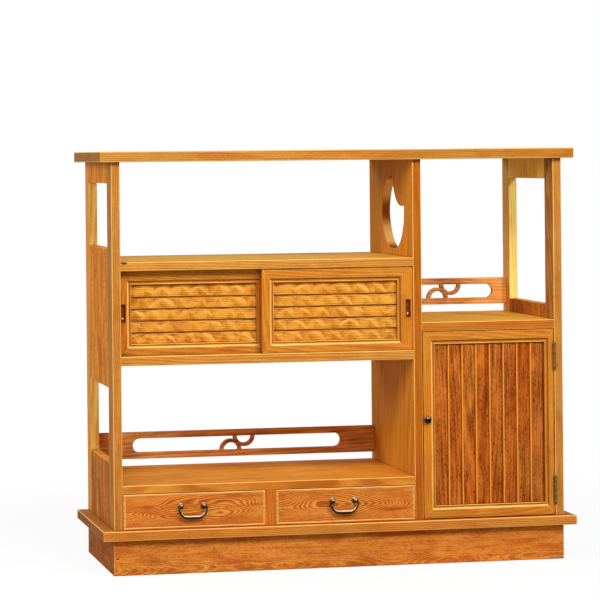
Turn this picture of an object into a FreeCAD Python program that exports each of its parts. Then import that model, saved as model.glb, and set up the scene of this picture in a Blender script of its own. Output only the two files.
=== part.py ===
import FreeCAD, Part
import math
import os
import Sketcher
from FreeCAD import Vector
from types import SimpleNamespace

# Japanese tea cabinet in lacquered cedar: open bays, two sliding doors with carved slats, one hinged
# door with upright boards, two drawers and two fretwork rails.
# Millimetres. X runs along the cabinet, Y to its back and Z up. The origin is on the floor, under the
# middle of the cabinet.

sizes = {
    # whole cabinet
    "cabinet_width": 1060,
    "cabinet_depth": 420,
    "cabinet_height": 915,
    "end_overhang": 25,
    "front_overhang": 15,
    "top_thickness": 23,
    "slab_thickness": 21,
    "edge_round": 3,
    "board_thickness": 19,
    "arris": 1.2,
    "plinth_height": 77,
    "plinth_thickness": 18,
    "plinth_setback": 4,
    "glue_block_leg": 38,
    # bays, from the slab upwards
    "left_bay_width": 650,
    "drawer_opening_height": 78,
    "drawer_shelf_thickness": 18,
    "sill_thickness": 20,
    "upper_shelf_thickness": 19,
    "right_shelf_thickness": 20,
    "housing_depth": 5,
    "housing_stop": 12,
    # framed sides
    "front_stile_width": 64,
    "back_stile_width": 54,
    "side_rail_height": 46,
    "lower_panel_rise": 45,
    "middle_panel_drop": 50,
    "middle_panel_rise": 28,
    "right_panel_rise": 31,
    "tenon_length": 12,
    "tenon_thickness": 7,
    "tenon_shoulder": 8,
    "tenon_clearance": 0.2,
    # fretwork rails
    "fret_height": 61,
    "fret_thickness": 14,
    "fret_lift": 18,
    "fret_inset": 13,
    "fret_arris": 1,
    "slot_height": 32,
    "left_slot_margin": 81,
    "right_slot_margin": 34,
    "ring_radius": 25,
    "ring_band": 8,
    "ring_shift": 15.5,
    # back panels
    "back_panel_thickness": 5,
    "back_panel_inset": 4,
    # sliding doors
    "sliding_overlap": 26,
    "sliding_door_thickness": 17,
    "sliding_setback": 5,
    "track_gap": 3,
    "sliding_side_gap": 0.5,
    "sliding_sill_gap": 0.4,
    "sliding_head_gap": 1,
    "sliding_left_stile_width": 26,
    "sliding_right_stile_width": 35,
    "sliding_top_rail_width": 30.5,
    "sliding_bottom_rail_width": 25,
    "track_setback": 4.5,
    "track_width": 9,
    "track_clearance": 0.5,
    "sill_groove_depth": 3,
    "head_groove_depth": 7,
    "sill_tongue_length": 3.1,
    "head_tongue_length": 6,
    "slat_count": 5,
    # moulded frames of the doors
    "moulding_width": 10,
    "moulding_depth": 4.5,
    "quirk_width": 1.2,
    "quirk_depth": 1.2,
    "bead_width": 3,
    "slat_groove_setback": 6.5,
    "slat_groove_width": 6.5,
    "slat_groove_depth": 6,
    "slat_clearance": 0.2,
    "slat_thin_edge": 2.8,
    # finger pulls
    "pull_width": 12,
    "pull_length": 40,
    "pull_depth": 7.5,
    "pull_wall": 1.3,
    "pull_floor": 1.5,
    "pull_rim": 0.3,
    "rear_pull_inset": 7.8,
    "front_pull_inset": 10.6,
    "pull_pin_radius": 2.2,
    "pull_pin_length": 1.6,
    "pull_pin_lift": 9,
    # hinged door
    "door_thickness": 19,
    "door_setback": 1,
    "door_free_gap": 2,
    "door_sill_gap": 2,
    "door_head_gap": 1.5,
    "door_left_stile_width": 27,
    "door_right_stile_width": 20.5,
    "door_top_rail_width": 28.5,
    "door_bottom_rail_width": 27.5,
    "upright_count": 8,
    "upright_chamfer": 2.2,
    "knob_radius": 8,
    "knob_length": 13,
    "knob_shank_radius": 2.5,
    "knob_shank_length": 11,
    "knob_inset": 7.8,
    # butt hinges
    "hinge_length": 61,
    "hinge_leaf_thickness": 1,
    "hinge_leaf_gap": 0.2,
    "hinge_leaf_width": 15,
    "hinge_barrel_radius": 3,
    "hinge_barrel_reach": 3.2,
    "hinge_pin_radius": 1.5,
    "hinge_pin_clearance": 0.05,
    "hinge_knuckle_gap": 0.3,
    "hinge_bottom_inset": 24,
    "hinge_top_inset": 29.5,
    # catch
    "catch_length": 44,
    "catch_height": 14,
    "catch_depth": 16,
    "catch_inset": 30,
    "catch_plate_length": 30,
    "catch_plate_height": 11,
    "catch_plate_thickness": 1,
    "catch_gap": 0.3,
    # drawers
    "mullion_width": 22,
    "mullion_depth": 20,
    "drawer_gap": 1,
    "drawer_run_gap": 0.3,
    "drawer_front_thickness": 18,
    "drawer_end_space": 55,
    "drawer_side_thickness": 10,
    "drawer_side_height": 60,
    "drawer_bottom_thickness": 4,
    "drawer_bottom_lift": 6,
    "drawer_bottom_groove": 5,
    "drawer_lap": 12,
    "bead_face": 5,
    "bead_rebate": 6,
    "bead_proud": 1.5,
    "stop_block_length": 40,
    "stop_block_depth": 12,
    "stop_block_height": 16,
    # bail handles
    "handle_spacing": 50,
    "handle_lift": 49,
    "handle_shift": 5,
    "handle_reach": 9.5,
    "post_eye_radius": 3.6,
    "post_plate_radius": 6.8,
    "post_plate_thickness": 1.5,
    "post_bar_width": 3.4,
    "post_bar_length": 12,
    "bail_pin_radius": 1.6,
    "bail_pin_clearance": 0.05,
    "bail_radius": 1.8,
    "bail_belly_radius": 3.5,
    "bail_belly_chamfer": 1.4,
    "bail_side_gap": 0.3,
    "bail_leg": 8,
    "bail_elbow_out": 26.5,
    "bail_elbow_drop": 17,
    "bail_drop": 24,
    "bail_flat": 34,
    # how far a cutting shape passes the wood that it cuts
    "overrun": 2,
}

# heights of the bays, as shares of the height from the slab to the top board
open_bay_share = 0.324937
sliding_opening_share = 0.232997
cupboard_opening_share = 0.52267
# cut-out of the divider: its length and place along the depth of the case, and its height and place
# in the bay above the upper shelf, as shares of both
cutout_length_share = 0.5185
cutout_margin_share = 0.1852
cutout_height_share = 0.7593
cutout_foot_share = 0.0741
# where its arcs pass, as shares of its length and height
cutout_tip_shares = (0.524, 1.0)
cutout_back_shares = (1.0, 0.5)
cutout_bottom_shares = (0.5, 0.0)
cutout_corner_shares = (0.012, 0.585)
cutout_step_shares = (0.143, 0.585)
cutout_upper_back_shares = (0.862, 0.845)
cutout_lower_back_shares = (0.855, 0.147)
cutout_lower_front_shares = (0.142, 0.151)
cutout_bite_shares = (0.393, 0.703)
# where the hollow of the frame moulding passes, as shares of its width and depth
cove_across_share = 0.36
cove_down_share = 0.72
# height of the knob as a share of its door
knob_lift_share = 0.531
# turned knob, from its foot to its end, as shares of its radius and length
knob_shares = ((0.55, 0.0), (0.55, 0.3), (1.0, 0.5), (1.0, 0.78), (0.7, 1.0))
# how far a corner of an eight-sided bar lies along and across, as shares of its half width
octagon_corner_share = math.tan(math.pi / 8)
# length of the belly of a bail, as a share of its flat
belly_share = 0.9


class Size:
    # a length that carries its value together with the sheet formula that gives it

    def __init__(self, value, formula):
        self.value = value
        self.formula = formula

    def __add__(self, other):
        other = as_size(other)
        return Size(self.value + other.value, f"({self.formula} + {other.formula})")

    def __sub__(self, other):
        other = as_size(other)
        return Size(self.value - other.value, f"({self.formula} - {other.formula})")

    def __mul__(self, other):
        other = as_size(other)
        return Size(self.value * other.value, f"({self.formula} * {other.formula})")

    def __truediv__(self, other):
        other = as_size(other)
        return Size(self.value / other.value, f"({self.formula} / {other.formula})")

    def __neg__(self):
        return Size(-self.value, f"(0 - {self.formula})")

    __radd__ = __add__
    __rmul__ = __mul__


def as_size(number):
    return number if isinstance(number, Size) else Size(number, f"{number}")


# how near two places are taken as one
nearness = 0.001

document = FreeCAD.newDocument("tea_cabinet")
sheet = document.addObject("Spreadsheet::Sheet", "Sizes")
for row, (alias, number) in enumerate(sizes.items(), 1):
    sheet.set(f"A{row}", alias)
    sheet.set(f"B{row}", str(number))
    sheet.setAlias(f"B{row}", alias)
document.recompute()
s = SimpleNamespace(**{alias: Size(number, f"Sizes.{alias}") for alias, number in sizes.items()})
zero = as_size(0)
nodes = []


def bind(thing, path, size):
    thing.setExpression(path, as_size(size).formula)


def move_to(thing, place):
    for axis, size in zip("xyz", place):
        bind(thing, f"Placement.Base.{axis}", size)


def new_body(label, place):
    body = document.addObject("PartDesign::Body", label)
    body.Label = label
    move_to(body, place)
    return body


def keep(thing, label):
    # marks a finished piece as a node of its own
    thing.Label = label
    nodes.append(thing)
    return thing


def plane_of(body, role):
    return [feature for feature in body.Origin.OriginFeatures if feature.Role == role][0]


def add_block(body, kind, low, high):
    # a block between two corners, in the body's own frame
    block = body.newObject(f"PartDesign::{kind}Box", f"{body.Name}_block")
    for path, start, end in zip(("Length", "Width", "Height"), low, high):
        bind(block, path, end - start)
    move_to(block, low)
    return block


def add_rod(body, kind, place, radius, length, axis):
    # a round bar from a place along an axis, in the body's own frame
    rod = body.newObject(f"PartDesign::{kind}Cylinder", f"{body.Name}_rod")
    turns = {"x": (Vector(0, 1, 0), 90), "y": (Vector(1, 0, 0), -90), "z": (Vector(0, 0, 1), 0)}
    rod.Placement = FreeCAD.Placement(Vector(0, 0, 0), FreeCAD.Rotation(*turns[axis]))
    bind(rod, "Radius", radius)
    bind(rod, "Height", length)
    move_to(rod, place)
    return rod


def add_sketch(body, role, outline, closed=True):
    # an outline of points (u, v), each joined to the next by a line, or by an arc through a middle
    # point where it is given as (u, v, middle u, middle v)
    sketch = body.newObject("Sketcher::SketchObject", f"{body.Name}_sketch")
    sketch.AttachmentSupport = [(plane_of(body, role), "")]
    sketch.MapMode = "FlatFace"
    points = [tuple(as_size(size) for size in point) for point in outline]
    spots = [Vector(point[0].value, point[1].value, 0) for point in points]
    count = len(points)
    joined = range(count) if closed else range(count - 1)
    for i in joined:
        start, end, point = spots[i], spots[(i + 1) % count], points[i]
        if len(point) == 2:
            sketch.addGeometry(Part.LineSegment(start, end))
        else:
            middle = Vector(point[2].value, point[3].value, 0)
            sketch.addGeometry(Part.Arc(start, middle, end))
    ends = [end_numbers(sketch, i, spots[i]) for i in joined]
    rules, lengths = [], []

    def fix_point(index, end, u, v):
        for kind, size in (("DistanceX", u), ("DistanceY", v)):
            lengths.append((len(rules), size))
            rules.append(Sketcher.Constraint(kind, -1, 1, index, end, size.value))

    for i in joined:
        following, point = (i + 1) % count, points[i]
        if following in joined:
            rules.append(Sketcher.Constraint("Coincident", i, ends[i][1], following, ends[following][0]))
        else:
            fix_point(i, ends[i][1], points[following][0], points[following][1])
        fix_point(i, ends[i][0], point[0], point[1])
        if len(point) == 4:
            middle = sketch.addGeometry(Part.Point(Vector(point[2].value, point[3].value, 0)), True)
            fix_point(middle, 1, point[2], point[3])
            rules.append(Sketcher.Constraint("PointOnObject", middle, 1, i))
    sketch.addConstraint(rules)
    for number, size in lengths:
        bind(sketch, f"Constraints[{number}]", size)
    return sketch


def end_numbers(sketch, index, start):
    # the numbers of the two ends of a line or arc; arcs are stored anticlockwise, so they may swap
    return (1, 2) if sketch.getPoint(index, 1).distanceToPoint(start) < nearness else (2, 1)


def pad(body, sketch, length, both_ways=False):
    feature = body.newObject("PartDesign::Pad", f"{body.Name}_pad")
    feature.Profile = sketch
    feature.Midplane = both_ways
    bind(feature, "Length", length)
    return feature


def turn(body, sketch, axis):
    # revolves a half outline about an axis of its sketch
    feature = body.newObject("PartDesign::Revolution", f"{body.Name}_turn")
    feature.Profile = sketch
    feature.ReferenceAxis = (sketch, [axis])
    feature.Angle = 360
    return feature


def pocket(body, sketch, length):
    # cuts the same distance to both sides of the sketch
    feature = body.newObject("PartDesign::Pocket", f"{body.Name}_pocket")
    feature.Profile = sketch
    feature.Midplane = True
    bind(feature, "Length", length)
    return feature


def ease(body, kind, size, wanted):
    # rounds or chamfers the edges that the test picks from the newest solid
    document.recompute()
    base = body.Tip
    names = [f"Edge{number}" for number, edge in enumerate(base.Shape.Edges, 1) if wanted(edge)]
    feature = body.newObject(f"PartDesign::{kind}", f"{body.Name}_ease")
    feature.Base = (base, names)
    bind(feature, "Radius" if kind == "Fillet" else "Size", size)
    return feature


def corner(thing, low):
    # the low corner of a body, subtracted from a place in the cabinet
    return tuple(size - start for size, start in zip(thing, low))


def group(label, members):
    # separate solids of one kind, kept in one node
    compound = document.addObject("Part::Compound", label)
    compound.Links = members
    for member in members:
        if member in nodes:
            nodes.remove(member)
    return keep(compound, label)


def board(label, low, high, tongues=(), cuts=()):
    # a plain board between two corners of the cabinet, with tongues added and housings cut away
    body = new_body(label, low)
    add_block(body, "Additive", (zero, zero, zero), corner(high, low))
    for start, end in tongues:
        add_block(body, "Additive", corner(start, low), corner(end, low))
    for start, end in cuts:
        add_block(body, "Subtractive", corner(start, low), corner(end, low))
    return keep(body, label)


def is_straight(edge, axis):
    box = edge.BoundBox
    spans = {"x": box.XLength, "y": box.YLength, "z": box.ZLength}
    length = spans.pop(axis)
    return length > nearness and max(spans.values()) < nearness


def ease_front(body, axis):
    # takes the arrises off the front edges that run along one axis
    ease(body, "Chamfer", s.arris, lambda edge: is_straight(edge, axis) and edge.BoundBox.YMax < nearness)


# places along X
half_width = s.cabinet_width / 2
left_outer = s.end_overhang - half_width
left_inner = left_outer + s.board_thickness
right_outer = half_width - s.end_overhang
right_inner = right_outer - s.board_thickness
divider_left = left_inner + s.left_bay_width
divider_right = divider_left + s.board_thickness

# places along Y
front = -s.cabinet_depth / 2
back = s.cabinet_depth / 2
case_front = front + s.front_overhang
front_stile_back = case_front + s.front_stile_width
back_stile_front = back - s.back_stile_width
fret_front = back - s.fret_inset - s.fret_thickness

# places along Z
slab_top = s.plinth_height + s.slab_thickness
top_bottom = s.cabinet_height - s.top_thickness
case_height = top_bottom - slab_top
drawer_head = slab_top + s.drawer_opening_height
drawer_shelf_top = drawer_head + s.drawer_shelf_thickness
sill_bottom = drawer_shelf_top + case_height * open_bay_share
sill_top = sill_bottom + s.sill_thickness
sliding_opening_height = case_height * sliding_opening_share
sliding_head = sill_top + sliding_opening_height
upper_shelf_top = sliding_head + s.upper_shelf_thickness
cupboard_opening_height = case_height * cupboard_opening_share
cupboard_head = slab_top + cupboard_opening_height
right_shelf_top = cupboard_head + s.right_shelf_thickness
side_rail_bottom = top_bottom - s.side_rail_height


def rounded_slab(label, low_z, high_z):
    # a board over the full width and depth, rounded along its front and ends
    body = board(label, (-half_width, front, low_z), (half_width, back, high_z))

    def outer(edge):
        along_front = is_straight(edge, "x") and edge.BoundBox.YMax < nearness
        return along_front or is_straight(edge, "y")

    ease(body, "Fillet", s.edge_round, outer)
    return body


rounded_slab("top_board", top_bottom, s.cabinet_height)
rounded_slab("base_slab", s.plinth_height, slab_top)

# plinth: front board and two ends meet in mitres, the back board stands between the ends
plinth_front = case_front + s.plinth_setback
plinth_length = right_outer - left_outer
plinth_depth = back - plinth_front


def upright_prism(label, place, outline, height):
    body = new_body(label, place)
    pad(body, add_sketch(body, "XY_Plane", outline), height)
    return body


keep(upright_prism("plinth_front", (left_outer, plinth_front, zero), [
    (zero, zero),
    (plinth_length, zero),
    (plinth_length - s.plinth_thickness, s.plinth_thickness),
    (s.plinth_thickness, s.plinth_thickness),
], s.plinth_height), "plinth_front")
board("plinth_back", (left_outer + s.plinth_thickness, back - s.plinth_thickness, zero),
      (right_outer - s.plinth_thickness, back, s.plinth_height))


def plinth_end(name, x, inward):
    return upright_prism(name, (x, plinth_front, zero), [
        (zero, zero),
        (s.plinth_thickness * inward, s.plinth_thickness),
        (s.plinth_thickness * inward, plinth_depth),
        (zero, plinth_depth),
    ], s.plinth_height)


group("plinth_ends", [plinth_end("left_plinth_end", left_outer, 1),
                      plinth_end("right_plinth_end", right_outer, -1)])


def glue_block(name, x, y, inward, backward):
    return upright_prism(name, (x, y, zero), [
        (zero, zero),
        (s.glue_block_leg * inward, zero),
        (zero, s.glue_block_leg * backward),
    ], s.plinth_height)


plinth_inner_left = left_outer + s.plinth_thickness
plinth_inner_right = right_outer - s.plinth_thickness
plinth_inner_front = plinth_front + s.plinth_thickness
plinth_inner_back = back - s.plinth_thickness
group("plinth_blocks", [
    glue_block("front_left_block", plinth_inner_left, plinth_inner_front, 1, 1),
    glue_block("front_right_block", plinth_inner_right, plinth_inner_front, -1, 1),
    glue_block("back_left_block", plinth_inner_left, plinth_inner_back, 1, -1),
    glue_block("back_right_block", plinth_inner_right, plinth_inner_back, -1, -1),
])


# framed sides: panels and rails have tenons in the stiles, shelves sit in housings of the inner faces
def housing(face, inward, low_z, high_z, stop=s.housing_stop, deep=s.housing_depth):
    # the space of a shelf end in the face that it meets; inward points into the wood
    far = face + deep * inward
    start, end = (far, face) if inward < 0 else (face, far)
    return (start, case_front + stop, low_z), (end, back, high_z)


def side_board(label, x, low_y, high_y, low_z, high_z, tenons=(), mortises=(), housings=()):
    low = (x, low_y, low_z)
    high = (x + s.board_thickness, high_y, high_z)
    cuts = list(mortises)
    for start, end in housings:
        cut_low = (start[0], start[1] if start[1].value > low_y.value else low_y, start[2])
        cut_high = (end[0], end[1] if end[1].value < high_y.value else high_y, end[2])
        cuts.append((cut_low, cut_high))
    return board(label, low, high, tenons, cuts)


def tenon(x, shoulder_y, backward, low_z, high_z, clearance=zero):
    # the tenon of a rail or panel; with a clearance it is the mortise that takes it
    middle = x + s.board_thickness / 2
    half = s.tenon_thickness / 2 + clearance
    tip = shoulder_y + (s.tenon_length + clearance) * backward
    start, end = (shoulder_y, tip) if backward > 0 else (tip, shoulder_y)
    low = (middle - half, start, low_z + s.tenon_shoulder - clearance)
    high = (middle + half, end, high_z - s.tenon_shoulder + clearance)
    return low, high


def framed_side(side, x, face, inward, fields, shelves):
    # fields are the rails and panels between the stiles, shelves the heights that meet this side
    homes = [housing(face, inward, low, high) for low, high in shelves]
    clear = s.tenon_clearance
    in_front = [tenon(x, front_stile_back, -1, low, high, clear) for low, high in fields.values()]
    in_back = [tenon(x, back_stile_front, 1, low, high, clear) for low, high in fields.values()]
    front_stile = side_board(f"{side}_front_stile", x, case_front, front_stile_back, slab_top, top_bottom,
                             mortises=in_front, housings=homes)
    ease_front(front_stile, "z")
    side_board(f"{side}_back_stile", x, back_stile_front, back, slab_top, top_bottom,
               mortises=in_back, housings=homes)
    for name, (low, high) in fields.items():
        inside = [home for home in homes if home[0][2].value >= low.value and home[1][2].value <= high.value]
        tenons = [tenon(x, front_stile_back, -1, low, high), tenon(x, back_stile_front, 1, low, high)]
        side_board(f"{side}_{name}", x, front_stile_back, back_stile_front, low, high,
                   tenons=tenons, housings=inside)


left_shelves = [(drawer_head, drawer_shelf_top), (sill_bottom, sill_top), (sliding_head, upper_shelf_top)]
right_shelves = [(cupboard_head, right_shelf_top)]
framed_side("left", left_outer, left_inner, -1, {
    "top_rail": (side_rail_bottom, top_bottom),
    "middle_panel": (sill_bottom - s.middle_panel_drop, upper_shelf_top + s.middle_panel_rise),
    "lower_panel": (slab_top, drawer_shelf_top + s.lower_panel_rise),
}, left_shelves)
framed_side("right", right_inner, right_inner, 1, {
    "top_rail": (side_rail_bottom, top_bottom),
    "lower_panel": (slab_top, right_shelf_top + s.right_panel_rise),
}, right_shelves)

# divider: one board from slab to top with housings on both faces and the cut-out above the upper shelf
divider_body = board("divider", (divider_left, case_front, slab_top), (divider_right, back, top_bottom),
                     cuts=[housing(divider_left, 1, low, high) for low, high in left_shelves]
                     + [housing(divider_right, -1, low, high) for low, high in right_shelves])
ease_front(divider_body, "z")


case_depth = back - case_front
upper_bay_height = top_bottom - upper_shelf_top


def cutout_point(shares):
    across, up = shares
    along_y = case_depth * (cutout_margin_share + cutout_length_share * across)
    along_z = upper_shelf_top + upper_bay_height * (cutout_foot_share + cutout_height_share * up) - slab_top
    return along_y, along_z


cutout_outline = [
    cutout_point(cutout_tip_shares) + cutout_point(cutout_upper_back_shares),
    cutout_point(cutout_back_shares) + cutout_point(cutout_lower_back_shares),
    cutout_point(cutout_bottom_shares) + cutout_point(cutout_lower_front_shares),
    cutout_point(cutout_corner_shares),
    cutout_point(cutout_step_shares) + cutout_point(cutout_bite_shares),
]
pocket(divider_body, add_sketch(divider_body, "YZ_Plane", cutout_outline),
       (s.board_thickness + s.overrun) * 2)


# shelves with a tongue at each end, seated in the housings
def shelf(label, left_face, right_face, low_z, high_z, cuts=()):
    tongues = []
    for face, inward in ((left_face, -1), (right_face, 1)):
        tongues.append(housing(face, inward, low_z, high_z))
    body = board(label, (left_face, case_front, low_z), (right_face, back, high_z), tongues, cuts)
    ease_front(body, "x")
    return body


track_starts = [case_front + s.sliding_setback + s.track_setback]
track_starts.append(track_starts[0] + s.sliding_door_thickness + s.track_gap)


def track_grooves(low_z, high_z):
    return [((left_inner, start, low_z), (divider_left, start + s.track_width, high_z))
            for start in track_starts]


shelf("drawer_shelf", left_inner, divider_left, drawer_head, drawer_shelf_top)
shelf("sill_shelf", left_inner, divider_left, sill_bottom, sill_top,
      track_grooves(sill_top - s.sill_groove_depth, sill_top))
shelf("upper_shelf", left_inner, divider_left, sliding_head, upper_shelf_top,
      track_grooves(sliding_head, sliding_head + s.head_groove_depth))
shelf("right_shelf", divider_right, right_inner, cupboard_head, right_shelf_top)


# fretwork rails: a long slot with round ends, crossed by two half rings that lean on each other
def half_ring(middle, base, upward):
    outer = s.ring_radius
    inner = s.ring_radius - s.ring_band
    return [
        (middle - outer, base, middle, base + outer * upward),
        (middle + outer, base),
        (middle + inner, base, middle, base + inner * upward),
        (middle - inner, base),
    ]


def fret_rail(label, left_face, right_face, shelf_top, slot_margin):
    length = right_face - left_face
    body = new_body(label, (left_face, fret_front + s.fret_thickness / 2, shelf_top + s.fret_lift))
    pad(body, add_sketch(body, "XZ_Plane", [
        (zero, zero), (length, zero), (length, s.fret_height), (zero, s.fret_height),
    ]), s.fret_thickness, both_ways=True)
    slot_low = (s.fret_height - s.slot_height) / 2
    slot_high = slot_low + s.slot_height
    reach = s.slot_height / 2
    left_turn = slot_margin + reach
    right_turn = length - slot_margin - reach
    pocket(body, add_sketch(body, "XZ_Plane", [
        (left_turn, slot_low),
        (right_turn, slot_low, right_turn + reach, slot_low + reach),
        (right_turn, slot_high),
        (left_turn, slot_high, left_turn - reach, slot_low + reach),
    ]), s.fret_thickness + s.overrun)
    low_ring = half_ring(length / 2 - s.ring_shift, slot_low, 1)
    high_ring = half_ring(length / 2 + s.ring_shift, slot_high, -1)
    for ring in (low_ring, high_ring):
        pad(body, add_sketch(body, "XZ_Plane", ring), s.fret_thickness, both_ways=True)
    ease(body, "Chamfer", s.fret_arris, lambda edge: is_straight(edge, "x") and (
        edge.BoundBox.ZMax < nearness or edge.BoundBox.ZMin > s.fret_height.value - nearness))
    return keep(body, label)


fret_rail("left_fret_rail", left_inner, divider_left, drawer_shelf_top, s.left_slot_margin)
fret_rail("right_fret_rail", divider_right, right_inner, right_shelf_top, s.right_slot_margin)

# drawer bay: front post, partition behind it and stop blocks at the back
bay_middle = (left_inner + divider_left) / 2
mullion_left = bay_middle - s.mullion_width / 2
mullion_right = bay_middle + s.mullion_width / 2
panel_front = back - s.back_panel_inset - s.back_panel_thickness
mullion_back = case_front + s.mullion_depth
board("drawer_mullion", (mullion_left, case_front, slab_top), (mullion_right, mullion_back, drawer_head))
board("drawer_partition", (mullion_left, mullion_back, slab_top), (mullion_right, panel_front, drawer_head))

# back panels, set in a little from the back edges
panel_back = back - s.back_panel_inset


def back_panel(name, left, right, low_z, high_z):
    return board(name, (left, panel_front, low_z), (right, panel_back, high_z))


group("back_panels", [
    back_panel("sliding_bay_panel", left_inner, divider_left, sill_top, sliding_head),
    back_panel("drawer_bay_panel", left_inner, divider_left, slab_top, drawer_head),
    back_panel("cupboard_panel", divider_right, right_inner, slab_top, cupboard_head),
])


# moulded frame of a door: stiles and rails meet in mitres, with a groove inside for the boards.
# a frame holds its width, height, thickness and the widths of its four members
def frame_of(width, height, thickness, left, right, low, top):
    return SimpleNamespace(width=width, height=height, thickness=thickness,
                           left=left, right=right, low=low, top=top)


def moulded_section(member_width, thickness):
    # section of a member from its outer edge inwards: (distance from the outer edge, depth from the face)
    inner = member_width
    moulding = inner - s.moulding_width
    bead = inner - s.bead_width
    half_bead = s.bead_width / 2
    groove_back = s.slat_groove_setback + s.slat_groove_width
    cove_start = moulding + s.quirk_width
    cove_middle = cove_start + (bead - cove_start) * cove_across_share
    cove_depth = s.quirk_depth + (s.moulding_depth - s.quirk_depth) * cove_down_share
    return [
        (zero, zero),
        (moulding, zero),
        (moulding, s.quirk_depth),
        (cove_start, s.quirk_depth, cove_middle, cove_depth),
        (bead, s.moulding_depth, bead + half_bead, s.moulding_depth - half_bead),
        (inner, s.moulding_depth),
        (inner, s.slat_groove_setback),
        (inner - s.slat_groove_depth, s.slat_groove_setback),
        (inner - s.slat_groove_depth, groove_back),
        (inner, groove_back),
        (inner, thickness),
        (zero, thickness),
    ]


def placed(section, put):
    # moves every pair of numbers of a section through one rule
    outline = []
    for point in section:
        pairs = [put(*point[i:i + 2]) for i in range(0, len(point), 2)]
        outline.append(tuple(size for pair in pairs for size in pair))
    return outline


def mitre(body, frame, right_side, top_side, of_rail):
    # cuts the end of a stile or rail where it meets its neighbour
    side_width = frame.right if right_side else frame.left
    rail_width = frame.top if top_side else frame.low

    def at(u, v):
        x = frame.width - u if right_side else u
        z = frame.height - v if top_side else v
        return x, z

    joint = [
        at(zero, zero),
        at(side_width - s.moulding_width, rail_width - s.moulding_width),
        at(side_width, rail_width),
    ]
    if of_rail:
        rest = [
            at(side_width, rail_width + s.overrun),
            at(-s.overrun, rail_width + s.overrun),
            at(-s.overrun, zero),
        ]
    else:
        rest = [
            at(side_width + s.overrun, rail_width),
            at(side_width + s.overrun, -s.overrun),
            at(zero, -s.overrun),
        ]
    pocket(body, add_sketch(body, "XZ_Plane", joint + rest), (frame.thickness + s.overrun) * 2)


def stile(label, place, frame, right_side):
    body = new_body(label, place)
    width = frame.right if right_side else frame.left
    section = moulded_section(width, frame.thickness)
    if right_side:
        section = placed(section, lambda u, v: (frame.width - u, v))
    pad(body, add_sketch(body, "XY_Plane", section), frame.height)
    for top_side in (False, True):
        mitre(body, frame, right_side, top_side, of_rail=False)
    return keep(body, label)


def rail(label, place, frame, top_side):
    body = new_body(label, place)
    width = frame.top if top_side else frame.low
    section = moulded_section(width, frame.thickness)
    if top_side:
        section = placed(section, lambda u, v: (v, frame.height - u))
    else:
        section = placed(section, lambda u, v: (v, u))
    pad(body, add_sketch(body, "YZ_Plane", section), frame.width)
    for right_side in (False, True):
        mitre(body, frame, right_side, top_side, of_rail=True)
    return body


# sliding doors: both are the same, the rear one runs behind the front one
sliding_height = sliding_opening_height - s.sliding_sill_gap - s.sliding_head_gap
sliding_width = (s.left_bay_width - s.sliding_side_gap * 2 + s.sliding_overlap) / 2
sliding_frame = frame_of(sliding_width, sliding_height, s.sliding_door_thickness,
                         s.sliding_left_stile_width, s.sliding_right_stile_width,
                         s.sliding_bottom_rail_width, s.sliding_top_rail_width)
slat_front = s.slat_groove_setback + s.slat_clearance
slat_back = s.slat_groove_setback + s.slat_groove_width - s.slat_clearance
slat_seat = s.slat_groove_depth - s.slat_clearance


def slat(name, place, frame, number):
    # a clapboard slat: its lower edge stands forward, its ends and outer edges sit in the grooves
    start = frame.left - slat_seat
    pitch = (frame.height - frame.low - frame.top) / s.slat_count
    low = frame.low + pitch * number
    high = low + pitch
    thin = slat_back - s.slat_thin_edge
    outline = [(slat_front, low), (thin, high), (slat_back, high), (slat_back, low)]
    if number == 0:
        seated = low - slat_seat
        outline = [(slat_front, seated)] + outline[:3] + [(slat_back, seated)]
    if number == sizes["slat_count"] - 1:
        seated = high + slat_seat
        outline = outline[:2] + [(thin, seated), (slat_back, seated)] + outline[3:]
    body = new_body(name, (place[0] + start, place[1], place[2]))
    pad(body, add_sketch(body, "YZ_Plane", outline), frame.width - frame.right + slat_seat - start)
    return body


def sliding_door(label, place, pull_on_right):
    frame = sliding_frame
    left = stile(f"{label}_left_stile", place, frame, False)
    right = stile(f"{label}_right_stile", place, frame, True)
    low, top = [rail(f"{label}_{name}", place, frame, top_side)
                for name, top_side in (("low_rail", False), ("high_rail", True))]
    tongue_front = s.track_setback + s.track_clearance
    tongue_back = s.track_setback + s.track_width - s.track_clearance
    add_block(low, "Additive", (zero, tongue_front, -s.sill_tongue_length), (frame.width, tongue_back, zero))
    add_block(top, "Additive", (zero, tongue_front, frame.height),
              (frame.width, tongue_back, frame.height + s.head_tongue_length))
    group(f"{label}_rails", [low, top])
    group(f"{label}_slats", [slat(f"{label}_slat_{number + 1}", place, frame, number)
                             for number in range(sizes["slat_count"])])
    if pull_on_right:
        pull_left = frame.width - s.front_pull_inset - s.pull_width / 2
        holder = right
    else:
        pull_left = s.rear_pull_inset - s.pull_width / 2
        holder = left
    pull_bottom = (frame.height - s.pull_length) / 2
    pull_low = (pull_left, zero, pull_bottom)
    pull_high = (pull_left + s.pull_width, s.pull_depth, pull_bottom + s.pull_length)
    add_block(holder, "Subtractive", pull_low, pull_high)
    cup_place = tuple(start + offset for start, offset in zip(place, pull_low))
    cup = new_body(f"{label}_pull", cup_place)
    add_block(cup, "Additive", (zero, -s.pull_rim, zero), (s.pull_width, s.pull_depth, s.pull_length))
    add_block(cup, "Subtractive", (s.pull_wall, -s.overrun, s.pull_wall),
              (s.pull_width - s.pull_wall, s.pull_depth - s.pull_floor, s.pull_length - s.pull_wall))
    keep(cup, f"{label}_pull")
    pin = new_body(f"{label}_pull_pin", cup_place)
    floor = s.pull_depth - s.pull_floor
    add_rod(pin, "Additive", (s.pull_width / 2, floor - s.pull_pin_length, s.pull_pin_lift),
            s.pull_pin_radius, s.pull_pin_length, "y")
    keep(pin, f"{label}_pull_pin")


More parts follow.
